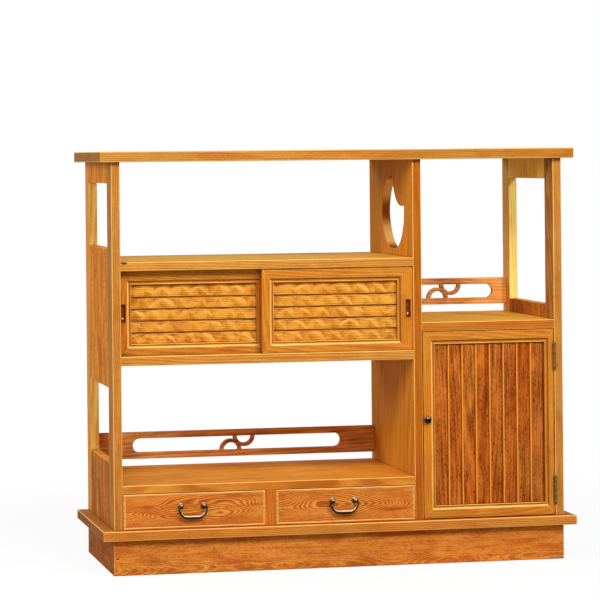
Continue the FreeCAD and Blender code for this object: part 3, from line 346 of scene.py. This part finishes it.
def hollowShade(tree, place):
    # painted shade: darker in the hollows of the carving and in the gaps behind the slats, darker on the side of each
    # hollow that faces left, away from the key lamp, and lighter on the side that faces it
    hollow, shadedSide = (calc(tree, "MULTIPLY", centred(tree, attribute(tree, name)), stainAndShade[name])
                       for name in ("hollow", "shadedSide"))
    return calc(tree, "ADD", hollow, shadedSide)


def uprightPlace(tree, place):
    # the whole part is the number of a board, and the rest the share of the way across it
    fromStart = calc(tree, "SUBTRACT", alongX(tree, place), uprightSizes["start"])
    return calc(tree, "DIVIDE", fromStart, uprightSizes["pitch"])


def uprightNumber(tree, place):
    return calc(tree, "FLOOR", uprightPlace(tree, place))


def uprightShade(tree, place):
    # painted shade on each board where it meets the next one
    share = calc(tree, "FRACT", uprightPlace(tree, place))
    return calc(tree, "MULTIPLY", ease(tree, share, *stainAndShade["besideNextFrom"]), stainAndShade["besideNext"])


# each wood: the pieces that it is on, and where it differs from woodDefaults
# moulded frames keep a tenth of the highlight on arrises facing down or left, and their painted shade reaches far
# enough to darken the door rails under the shelves
mouldedEdges = {"radius": 0.0008, "lines": 0.4, "arrisColour": (255, 206, 118), "under": 0.1, "corner": 0.8,
                "reach": 0.018}
mottledPanel = {"grain": "z", "rings": 110, "lines": 0.3, "mottle": 0.9, "pores": 1.0, "fibre": 1.0}
woods = {
    "topBoardWood": dict(
        on=("top_board",), offset=(0.3, 0.1, 0), tilt=0.012, light=(183, 130, 56), dark=(149, 87, 27), streaks=0.4,
        end=(0.8, 0.7, 0.5), extra=topTone),
    "slabWood": dict(on=("base_slab",), offset=(0.9, 0.4, 0), tilt=0.006, light=(197, 126, 50), dark=(153, 81, 24)),
    # the face tints below lift the shelves' tops, the back stiles' front faces and the left-facing sides of the right
    # top rail and the divider: painted light
    "shelfWood": dict(
        on=("sill_shelf", "upper_shelf"), offset=(1.7, 0, 0.2), tilt=0.012, rings=230, hue=0.3,
        light=(198, 139, 59), dark=(158, 90, 29), face=(0, 0, 1), paintedLightTint=(1.45, 1.95, 1.45),
        knots=((-0.4785, -0.1945, 0.6745, 0.0046),)),
    "rightShelfWood": dict(
        on=("right_shelf",), offset=(2.6, 0, 0.2), light=(188, 114, 37), dark=(149, 77, 18), face=(0, 0, 1),
        paintedLightTint=(1.8, 2.9, 2.6)),
    "drawerShelfWood": dict(
        on=("drawer_shelf", "drawer_partition", "drawer_stops", "door_catch"), offset=(3.3, 0, 0.1),
        light=(200, 129, 44), dark=(158, 83, 22), face=(0, 0, 1), paintedLightTint=(1.35, 1.5, 1.0)),
    "stileWood": dict(
        on=("left_front_stile", "right_front_stile"), grain="z", offset=(0, 0.3, 0), rings=300,
        light=(191, 132, 56), dark=(148, 81, 25)),
    "backStileWood": dict(
        on=("right_back_stile",), grain="z", offset=(0, 0.7, 0), rings=200, streaks=0.0,
        light=(244, 194, 97), dark=(212, 149, 67), face=(0, -1, 0), paintedLightTint=(1.3, 1.75, 2.1)),
    "leftBackWood": dict(
        on=("left_back_stile",), grain="z", offset=(0.4, 0.7, 0), streaks=0.0,
        light=(231, 163, 74), dark=(195, 121, 49), face=(0, -1, 0), paintedLightTint=(1.3, 1.75, 2.0)),
    # end tints above 1 paint light onto the tops and bottoms of these panels
    "panelWood": dict(
        mottledPanel, on=("left_top_rail", "left_middle_panel"), offset=(2.2, 0, 0),
        light=(245, 160, 40), dark=(174, 88, 16), end=(1.1, 1.2, 1.2)),
    "lowPanelWood": dict(
        mottledPanel, on=("left_lower_panel", "right_lower_panel"), offset=(2.7, 0.2, 0),
        light=(209, 128, 32), dark=(140, 68, 13), end=(1.6, 2.0, 2.0)),
    "rightRailWood": dict(
        on=("right_top_rail",), grain="z", offset=(2.4, 0.6, 0), rings=110, lines=0.3, pores=0.6,
        light=(243, 182, 84), dark=(195, 123, 53), face=(-1, 0, 0), paintedLightTint=(1.7, 2.5, 2.3)),
    "dividerWood": dict(
        on=("divider",), grain="z", offset=(3.1, 0.5, 0), rings=110, lines=0.3,
        light=(174, 96, 21), dark=(140, 68, 9), face=(-1, 0, 0), paintedLightTint=(1.85, 2.8, 3.0)),
    "mullionWood": dict(
        on=("drawer_mullion",), grain="z", offset=(0.6, 0.2, 0), light=(200, 116, 38), dark=(165, 82, 24), arris=0.5),
    "plinthWood": dict(
        on=("plinth_front", "plinth_back", "plinth_blocks", "back_panels"), offset=(4.4, 0, 0),
        pith=(0, -0.175, 0.008), rings=430, swing=0.05, swingPitch=5, mottle=0.9, streaks=0.8, pores=0.6, fibre=0.9,
        light=(207, 130, 50), dark=(155, 78, 26), knots=((-0.497, -0.191, 0.037, 0.0022),)),
    "plinthEndWood": dict(
        on=("plinth_ends",), grain="y", offset=(5.0, 0, 0), light=(186, 101, 7), dark=(127, 55, 2), lines=0.5,
        mottle=0.8, pores=0.5),
    "fretWood": dict(
        on=("left_fret_rail", "right_fret_rail"), offset=(5.2, 0, 0), rings=140, mottle=0.9, lines=0.35, hue=0.8,
        light=(252, 176, 94), dark=(168, 104, 56), arris=0.9, arrisColour=(228, 152, 84), reach=0.004),
    "doorFrameWood": dict(
        mouldedEdges, on=("rear_door_rails", "front_door_rails", "door_rails"), offset=(6.1, 0, 0),
        light=(201, 134, 44), dark=(157, 82, 23)),
    "doorStileWood": dict(
        mouldedEdges, on=[f"{door}_{hand}_stile" for door in ("rear_door", "front_door", "door")
                          for hand in ("left", "right")],
        grain="z", offset=(6.6, 0, 0), light=(205, 129, 36), dark=(161, 82, 18)),
    # the slats take the full painted shade in the gaps under each one
    "slatWood": dict(
        on=("rear_door_slats", "front_door_slats"), boards=slatNumber, extra=hollowShade, offset=(7.3, 0, 0),
        light=(205, 141, 46), dark=(156, 79, 15), lines=0.4, mottle=0.6, fibre=0.6, corner=1.0,
        cornerColour=(124, 58, 16)),
    "uprightWood": dict(
        on=("door_uprights",), boards=uprightNumber, extra=uprightShade, grain="z", offset=(8.2, 0, 0), rings=200,
        light=(188, 105, 36), dark=(110, 42, 8), red=(112, 37, 8), mottle=0.75, pores=0.55, streaks=0.6, lines=0.3,
        hue=0.8, fibre=0.8, arris=0.85, arrisColour=(226, 146, 52), corner=0.8),
    "drawerWood": dict(
        on=("left_drawer_front", "right_drawer_front"), offset=(9.4, 0, 0), pith=(0, -0.186, 0.137), rings=430,
        swing=0.1, swingPitch=5.5, warp=0.06, light=(207, 130, 51), dark=(158, 73, 23), red=(142, 49, 13),
        lines=0.9, streaks=1.0, mottle=0.8, pores=0.4, fibre=0.5, corner=0.9, reach=0.004),
    "beadWood": dict(
        on=("left_drawer_beads", "right_drawer_beads"), offset=(10.1, 0, 0), light=(222, 150, 70),
        dark=(184, 104, 40), streaks=0.0, arris=0.6, arrisColour=(255, 208, 126), under=0.5),
    "drawerBoxWood": dict(
        on=("left_drawer_box", "right_drawer_box"), offset=(11.2, 0, 0), light=(236, 200, 146),
        dark=(206, 160, 104), corner=0.4, streaks=0.0),
}
metals = {
    # the bails, posts and knob are lighter on their upper side: a painted highlight
    "darkBronze": dict(on=("left_bail", "right_bail"), colour=(46, 28, 10), wearAndHighlight=(206, 184, 152), rough=0.36,
                       highlitSlopes=(0.1, 0.7)),
    "postBronze": dict(on=("left_handle_posts", "right_handle_posts"), colour=(50, 34, 14), wearAndHighlight=(190, 170, 136),
                       rough=0.3, highlitSlopes=(0.0, 0.8)),
    "knobBronze": dict(on=("door_knob",), colour=(24, 15, 6), wearAndHighlight=(130, 122, 94), rough=0.25, highlitSlopes=(0.1, 0.8)),
    "hingeBrass": dict(on=("hinge_door_leaves", "hinge_frame_leaves", "hinge_pins"), colour=(72, 58, 32),
                       wearAndHighlight=(132, 108, 58), rough=0.4),
    "plateSteel": dict(on=("door_catch_plate",), colour=(160, 160, 158), wearAndHighlight=(120, 120, 118), rough=0.35),
    "pullLacquer": dict(on=("rear_door_pull", "front_door_pull"), colour=(134, 62, 15), wearAndHighlight=(98, 42, 9), rough=0.4,
                        metallic=0.0, specular=0.03),
    "palePin": dict(on=("rear_door_pull_pin", "front_door_pull_pin"), colour=(235, 190, 130), wearAndHighlight=(215, 160, 100),
                    rough=0.4, metallic=0.0),
}
looks = {name: makeWood(name, **look) for name, look in woods.items()}
looks |= {name: makeMetal(name, **look) for name, look in metals.items()}
print("materials set")


def addPiece(name, points, faces, material, body, *stoodFor, slot=None, smooth=True, attributes=None):
    mesh = bpy.data.meshes.new(name)
    mesh.from_pydata(points.tolist(), [], faces)
    mesh.polygons.foreach_set("use_smooth", np.full(len(mesh.polygons), smooth))
    for label, values in (attributes or {}).items():
        mesh.attributes.new(label, "FLOAT", "POINT").data.foreach_set("value", values.astype(np.float32))
    mesh.materials.append(material)
    mesh.validate()
    mesh.update()
    thing = bpy.data.objects.new(name, mesh)
    scene.collection.objects.link(thing)
    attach(thing, body)
    if stoodFor:
        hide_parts(*stoodFor)


def gridFaces(rows, columns):
    # quads between neighbouring rows and columns; columns close on themselves
    row = np.arange(rows - 1)[:, None] * columns
    column = np.arange(columns)[None, :]
    beside = (column + 1) % columns
    quads = np.stack([row + column, row + beside, row + columns + beside, row + columns + column], -1)
    return quads.reshape(-1, 4).tolist()


def joined(parts):
    # one list of points and one of faces out of several
    points, faces, start = [], [], 0
    for more, shapes in parts:
        points.append(more)
        faces += [[corner + start for corner in shape] for shape in shapes]
        start += len(more)
    return np.concatenate(points), faces


def tube(path, radii, around=20):
    # circles square to a path, with a flat cap at each end; radii gives the radius at each point
    path = np.asarray(path, float)
    ahead = np.gradient(path, axis=0)
    ahead /= np.linalg.norm(ahead, axis=1)[:, None]
    guide = np.array((0.0, 1.0, 0.0))
    across = np.cross(ahead, guide)
    across /= np.linalg.norm(across, axis=1)[:, None]
    second = np.cross(ahead, across)
    turn = np.linspace(0, 2 * np.pi, around, endpoint=False)
    rings = (np.cos(turn)[None, :, None] * across[:, None] + np.sin(turn)[None, :, None] * second[:, None])
    points = (path[:, None] + rings * np.asarray(radii)[:, None, None]).reshape(-1, 3)
    count = len(path)
    faces = gridFaces(count, around)
    faces.append(list(range(around))[::-1])
    faces.append(list(range((count - 1) * around, count * around)))
    return points, faces


def throughPoints(points, steps):
    # a smooth line through the points: each stretch is the cubic whose slopes are those of its neighbours
    points = np.asarray(points, float)
    padded = np.concatenate([2 * points[:1] - points[1:2], points, 2 * points[-1:] - points[-2:-1]])
    a, b, c, d = padded[:-3], padded[1:-2], padded[2:-1], padded[3:]
    t = np.linspace(0, 1, steps, endpoint=False)[None, :, None]
    a, b, c, d = (p[:, None] for p in (a, b, c, d))
    line = 0.5 * (2 * b + (c - a) * t + (2 * a - 5 * b + 4 * c - d) * t ** 2 + (3 * b - a - 3 * c + d) * t ** 3)
    return np.concatenate([line.reshape(-1, points.shape[1]), points[-1:]])


def turned(profile, centre, around=40, steps=6):
    # a profile of (distance out along -Y, radius), smoothed, and carried round a line along Y
    line = throughPoints(profile, steps)
    turn = np.linspace(0, 2 * np.pi, around, endpoint=False)
    out, radius = line[:, 0][:, None], np.maximum(line[:, 1], 0.00005)[:, None]
    points = np.stack([np.cos(turn)[None] * radius, -out + 0 * turn[None], np.sin(turn)[None] * radius], -1)
    points = points.reshape(-1, 3) + np.asarray(centre)
    count = len(line)
    faces = [face[::-1] for face in gridFaces(count, around)]
    faces.append(list(range(around)))
    faces.append(list(range((count - 1) * around, count * around))[::-1])
    return points, faces


# carved slats of the sliding doors: metres, but a hollow's reach is a share of the slat's height, and
# jitter, slant and halfCell are shares of a cell
slatSizes = {
    "count": 5, "seat": 0.0058, "thin": 0.0028, "gap": 0.0048, "gapDepth": 0.003,
    "cell": 0.041, "upperDepth": 0.0028, "lowerDepth": 0.0020, "upperReach": 1.05, "lowerReach": 0.95,
    "jitter": 0.12, "slant": 0.3, "reachSpread": (0.75, 1.15), "depthSpread": (0.75, 1.2), "halfCell": 0.56,
    "plainSide": 0.4, "leastWood": 0.0012, "leastBack": 0.0006, "acrossCount": 230, "upCount": 18,
}


def carvedSlats(door, seed):
    # each slat is a wedge, thick at its lower edge, less the deeper of two rows of hollows. A hollow is
    # a flat-sided pyramid, depth * (1 - |X| / half cell - |Z| / height): one row stands on the upper
    # edge, the other on the lower edge half a cell along, and their sides meet in a zigzag
    low, high = (np.array(corner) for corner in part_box(f"{door}_slats"))
    random = np.random.default_rng(seed)
    seat, thin, gap = slatSizes["seat"], slatSizes["thin"], slatSizes["gap"]
    bottom, top = low[2] + seat, high[2] - seat
    pitch = (top - bottom) / slatSizes["count"]
    back, front = high[1], low[1]
    u = np.linspace(low[0], high[0], slatSizes["acrossCount"])
    v = np.linspace(0, 1, slatSizes["upCount"])
    across, up = np.meshgrid(u, v, indexing="ij")
    cell = slatSizes["cell"]
    count = int((high[0] - low[0]) / cell) + 3
    made, boards, hollows, sides = [], [], [], []
    for number in range(slatSizes["count"]):
        base = bottom + pitch * number
        starts = low[0] + (np.arange(count) - 1 + random.uniform(0, 1)) * cell
        depth, side = np.zeros_like(across), np.full_like(across, slatSizes["plainSide"])
        for row, edge in enumerate(("lower", "upper")):
            places = starts + (row / 2 + random.normal(0, slatSizes["jitter"], count)) * cell
            reaches = slatSizes[f"{edge}Reach"] * random.uniform(*slatSizes["reachSpread"], count)
            deeps = slatSizes[f"{edge}Depth"] * random.uniform(*slatSizes["depthSpread"], count)
            slants = cell * random.uniform(-slatSizes["slant"], slatSizes["slant"], count)
            for start, span, most, slant in zip(places, reaches, deeps, slants):
                place = start + slant * (up - 0.5)
                hollow = most * (1 - np.abs(across - place) / (cell * slatSizes["halfCell"]) - np.abs(up - row) / span)
                side = np.where(hollow > depth, across > place, side)
                depth = np.maximum(depth, hollow)
        wedge = front + (back - thin - front) * up
        face = np.minimum(wedge + depth, back - slatSizes["leastWood"])
        # the upper end of a slat runs back into a narrow gap under the lip of the next one
        rise = base + (pitch - gap) * up
        if number == 0:
            rise = np.where(up == 0, base - seat, rise)
        if number == slatSizes["count"] - 1:
            rise = np.where(up == 1, top + seat, rise)
        facePoints = np.stack([across, face, rise], -1)
        backLine, nextLip = np.full_like(u, back), np.full_like(u, base + pitch)
        corners = [(backLine, rise[:, -1]), (backLine, rise[:, 0])]
        if number < slatSizes["count"] - 1:
            deepY = np.minimum(face[:, -1] + slatSizes["gapDepth"], back - slatSizes["leastBack"])
            corners = [(deepY, rise[:, -1]), (deepY, nextLip), (backLine, nextLip), corners[1]]
        extra = [np.stack([u, lineY, lineZ], -1) for lineY, lineZ in corners]
        loop = np.concatenate([facePoints] + [line[:, None] for line in extra], 1)
        columns = loop.shape[1]
        faces = [quad[::-1] for quad in gridFaces(len(u), columns)]
        faces.append(list(range(columns)))
        faces.append(list(range((len(u) - 1) * columns, len(u) * columns))[::-1])
        made.append((loop.reshape(-1, 3), faces))
        boards.append(np.full(len(u) * columns, number + seed * 0.1))
        # the carving's depth, with the gap and back taken as fully hollow, drives the painted shade of the slats
        hollow = np.zeros(loop.shape[:2])
        hollow[:, :len(v)] = np.clip(depth / slatSizes["upperDepth"], 0, 1)
        hollow[:, len(v):] = 1
        hollows.append(hollow.reshape(-1))
        # the side of each hollow that faces left, away from the key lamp, is marked for painted shade
        shadedSide = np.full(loop.shape[:2], 0.5)
        shadedSide[:, :len(v)] = side
        sides.append(shadedSide.reshape(-1))
    points, faces = joined(made)
    addPiece(f"{door}_carved_slats", points, faces, looks["slatWood"], door, f"{door}_slats", slot="slat_wood",
             smooth=False, attributes={"board": np.concatenate(boards), "hollow": np.concatenate(hollows),
                                       "shadedSide": np.concatenate(sides)})


carvedSlats("rear_door", 3)
carvedSlats("front_door", 8)
print("slats carved")

# handles, in metres and degrees: half is from the middle to a post, leg from the middle to the bail's leg,
# drop from the pins to the belly, and reach from the drawer's front to the pins
handleSizes = {
    "half": 0.025, "leg": 0.0302, "drop": 0.0238,
    "ball": 0.0046, "neck": 0.0026, "plate": 0.0068, "reach": 0.0095, "ballAngles": (-62, 88),
    "bend": ((0.0004, 0.0012), (0, -0.003), (0.0008, -0.0095), (0.0042, -0.0165), (0.0098, -0.0217)),
    "flat": (0.0165, 0.0002), "belly": 0.0042, "taper": 0.0012, "taperFrom": 1.15, "tip": 0.0015, "tipDrop": 0.011,
    "pin": 0.0014, "pinEnd": 0.001, "pinSteps": 6,
}


def bailPath():
    # half of the bail from the pin to the middle, as (X, Z) from the middle of the line of the pins, and
    # its mirror image. Bend gives the distances in from the leg; flat is where the belly starts and its sag
    leg, drop = handleSizes["leg"], handleSizes["drop"]
    bellyStart, sag = handleSizes["flat"]
    rightHalf = [(leg - inward, z) for inward, z in handleSizes["bend"]]
    rightHalf += [(leg - bellyStart, -drop), (0, -drop - sag)]
    return np.array(rightHalf + [(-x, z) for x, z in rightHalf[-2::-1]])


def drawerHandle(side):
    low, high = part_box(f"{side}_handle_posts")
    centreX, centreZ = (low[0] + high[0]) / 2, (low[2] + high[2]) / 2
    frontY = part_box(f"{side}_drawer_front")[0][1]
    pinY = frontY - handleSizes["reach"]
    ball, neck, plate, reach = (handleSizes[key] for key in ("ball", "neck", "plate", "reach"))
    # a domed plate, a waisted neck and a ball, as (distance out, radius)
    profile = [(-0.001, plate), (0.0004, plate), (0.0012, plate * 0.86), (0.0017, plate * 0.6), (0.0022, neck * 1.25),
               (0.004, neck), (reach - ball * 0.92, neck * 1.05)]
    angles = np.linspace(*handleSizes["ballAngles"], 8)
    profile += [(reach + ball * math.sin(math.radians(a)), ball * math.cos(math.radians(a))) for a in angles]
    posts = [turned(profile, (centreX + handleSizes["half"] * hand, frontY, centreZ)) for hand in (-1, 1)]
    points, faces = joined(posts)
    addPiece(f"{side}_turned_posts", points, faces, looks["postBronze"], f"{side}_drawer", f"{side}_handle_posts",
             slot="dark_bronze")
    line = throughPoints(bailPath(), 12)
    # thickest in the middle, thinner by the square of the way out, and drawn down to the tips
    share = np.abs(line[:, 0]) / handleSizes["leg"]
    radii = handleSizes["belly"] - handleSizes["taper"] * np.clip(share * handleSizes["taperFrom"], 0, 1) ** 2
    down = np.clip(-line[:, 1] / handleSizes["tipDrop"], 0, 1)
    radii = handleSizes["tip"] + (radii - handleSizes["tip"]) * down
    path = np.stack([centreX + line[:, 0], np.full(len(line), pinY), centreZ + line[:, 1]], -1)
    pieces = [tube(path, radii, 24)]
    for hand in (-1, 1):
        start, end = handleSizes["leg"] * hand, (handleSizes["half"] - handleSizes["pinEnd"]) * hand
        pin = np.linspace((centreX + start, pinY, centreZ), (centreX + end, pinY, centreZ), handleSizes["pinSteps"])
        pieces.append(tube(pin, np.full(len(pin), handleSizes["pin"]), 16))
    points, faces = joined(pieces)
    addPiece(f"{side}_bent_bail", points, faces, looks["darkBronze"], f"{side}_bail", f"{side}_bail",
             slot="dark_bronze")


for drawerSide in ("left", "right"):
    drawerHandle(drawerSide)
print("handles made")

# knob: its profile is (distance out, share of the radius)
knobSizes = {
    "radius": 0.008, "length": 0.013,
    "profile": ((-0.001, 0.62), (0.0, 0.62), (0.0012, 0.6), (0.0026, 0.5), (0.0042, 0.55), (0.0056, 0.84),
                (0.0072, 0.99), (0.009, 0.98), (0.0108, 0.82), (0.0122, 0.5), (0.0128, 0.24), (0.013, 0.0)),
}
knobLow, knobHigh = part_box("door_knob")
knobFoot = ((knobLow[0] + knobHigh[0]) / 2, knobLow[1] + knobSizes["length"], (knobLow[2] + knobHigh[2]) / 2)
points, faces = turned([(out, share * knobSizes["radius"]) for out, share in knobSizes["profile"]], knobFoot)
addPiece("turned_knob", points, faces, looks["knobBronze"], "cupboard_door", "door_knob", slot="dark_bronze")

# studio
studio = {
    "floorSize": 12.0, "floorFade": (0.9, 2.0), "floorTone": 0.55, "floorSeenTone": 0.95, "floorRough": 0.9,
    "floorLit": 0.9,
    "keyPower": 76.0, "keySize": 0.6, "keyPlace": (1.95, -3.4, 2.5), "keyAim": (0, 0, 0.45),
    "topPower": 92.0, "topSize": 1.2, "topPlace": (0.0, -3.1, 2.7), "topAim": (0, 0, 0.4),
    "sidePower": 78.0, "sideSize": 1.6, "sidePlace": (-3.2, -2.3, 2.0), "sideAim": (0, 0, 0.45),
    "backPower": 60.0, "backSize": 2.0, "backPlace": (-1.5, 3.0, 2.5), "backAim": (0, 0, 0.45),
    "skyStrength": 0.14,
}


def straightRays(tree):
    # what the lens sees directly, and what a surface mirrors or lets through
    seen = addNode(tree, "ShaderNodeLightPath").outputs
    return seen["Is Camera Ray"], calc(tree, "MAXIMUM", seen["Is Glossy Ray"], seen["Is Transmission Ray"])


world = bpy.data.worlds.new("softRoom")
scene.world = world
world.use_nodes = True
worldTree = world.node_tree
worldTree.nodes.clear()
sky = addNode(worldTree, "ShaderNodeBackground", {"Color": (1, 1, 1, 1), "Strength": studio["skyStrength"]})
white = addNode(worldTree, "ShaderNodeBackground", {"Color": (1, 1, 1, 1), "Strength": 1.0})
lensRay, mirrorRay = straightRays(worldTree)
roomMix = addNode(worldTree, "ShaderNodeMixShader",
                  {0: calc(worldTree, "MAXIMUM", lensRay, mirrorRay), 1: sky.outputs[0], 2: white.outputs[0]})
addNode(worldTree, "ShaderNodeOutputWorld", {"Surface": roomMix.outputs[0]})


def addLamp(name):
    lamp = bpy.data.lights.new(name, "AREA")
    lamp.energy = studio[f"{name}Power"]
    lamp.size = studio[f"{name}Size"]
    thing = bpy.data.objects.new(name, lamp)
    thing.visible_camera = False
    scene.collection.objects.link(thing)
    place = Vector(studio[f"{name}Place"])
    aim = Vector(studio[f"{name}Aim"])
    thing.matrix_world = Matrix.Translation(place) @ (aim - place).to_track_quat("-Z", "Y").to_matrix().to_4x4()


for lampName in ("key", "top", "side", "back"):
    addLamp(lampName)

edge = studio["floorSize"] / 2
floorMesh = bpy.data.meshes.new("floor")
floorMesh.from_pydata([(-edge, -edge, 0), (edge, -edge, 0), (edge, edge, 0), (-edge, edge, 0)], [], [(0, 1, 2, 3)])
floor = bpy.data.objects.new("floor", floorMesh)
scene.collection.objects.link(floor)
floorMaterial, floorTree, floorShader = newMaterial("paleFloor")
# the cabinet is lit by a greyer floor than the lens sees, or its underside would be too bright
floorShader.inputs["Base Color"].default_value = (*[studio["floorTone"]] * 3, 1)
floorShader.inputs["Roughness"].default_value = studio["floorRough"]
floorOutput = [node for node in floorTree.nodes if node.type == "OUTPUT_MATERIAL"][0]
lit = addNode(floorTree, "ShaderNodeEmission", {"Color": (1, 1, 1, 1), "Strength": 1.0})
paleShader = addNode(floorTree, "ShaderNodeBsdfPrincipled",
                     {"Base Color": (*[studio["floorSeenTone"]] * 3, 1), "Roughness": studio["floorRough"]})
floorPlace = addNode(floorTree, "ShaderNodeTexCoord").outputs["Object"]
away = ease(floorTree, vectorCalc(floorTree, "LENGTH", floorPlace, output="Value"), *studio["floorFade"])
lensRay, mirrorRay = straightRays(floorTree)
# the lens and the metals see a white floor that darkens only in the shadow of the cabinet
seenFloor = calc(floorTree, "MAXIMUM", lensRay, mirrorRay)
whiter = calc(floorTree, "MULTIPLY", away, 1 - studio["floorLit"])
share = calc(floorTree, "MULTIPLY", seenFloor, calc(floorTree, "ADD", studio["floorLit"], whiter))
plain = addNode(floorTree, "ShaderNodeMixShader", {0: seenFloor, 1: floorShader.outputs[0], 2: paleShader.outputs[0]})
shaded = addNode(floorTree, "ShaderNodeMixShader", {0: share, 1: plain.outputs[0], 2: lit.outputs[0]})
floorTree.links.new(shaded.outputs[0], floorOutput.inputs["Surface"])
floorMesh.materials.append(floorMaterial)
print("studio set")

# camera, fitted to the straight edges of the case: metres, degrees and millimetres
lens = {"place": (-1.413304, -6.385482, 0.904908), "yaw": -12.082, "roll": -0.542, "length": 174.02,
        "shift": -0.2424, "sensor": 36, "clipEnd": 100}
yaw, roll = math.radians(lens["yaw"]), math.radians(lens["roll"])
forward = Vector((-math.sin(yaw), math.cos(yaw), 0))
level = Vector((math.cos(yaw), math.sin(yaw), 0))
upright = Vector((0, 0, 1))
cameraRight = level * math.cos(roll) + upright * math.sin(roll)
cameraUp = upright * math.cos(roll) - level * math.sin(roll)
cameraData = bpy.data.cameras.new("camera")
cameraData.sensor_width = lens["sensor"]
cameraData.lens = lens["length"]
cameraData.shift_y = lens["shift"]
cameraData.clip_end = lens["clipEnd"]
camera = bpy.data.objects.new("camera", cameraData)
scene.collection.objects.link(camera)
cameraTurn = Matrix((cameraRight, cameraUp, -forward)).transposed().to_4x4()
camera.matrix_world = Matrix.Translation(Vector(lens["place"])) @ cameraTurn
scene.camera = camera
scene.view_settings.view_transform = "Standard"
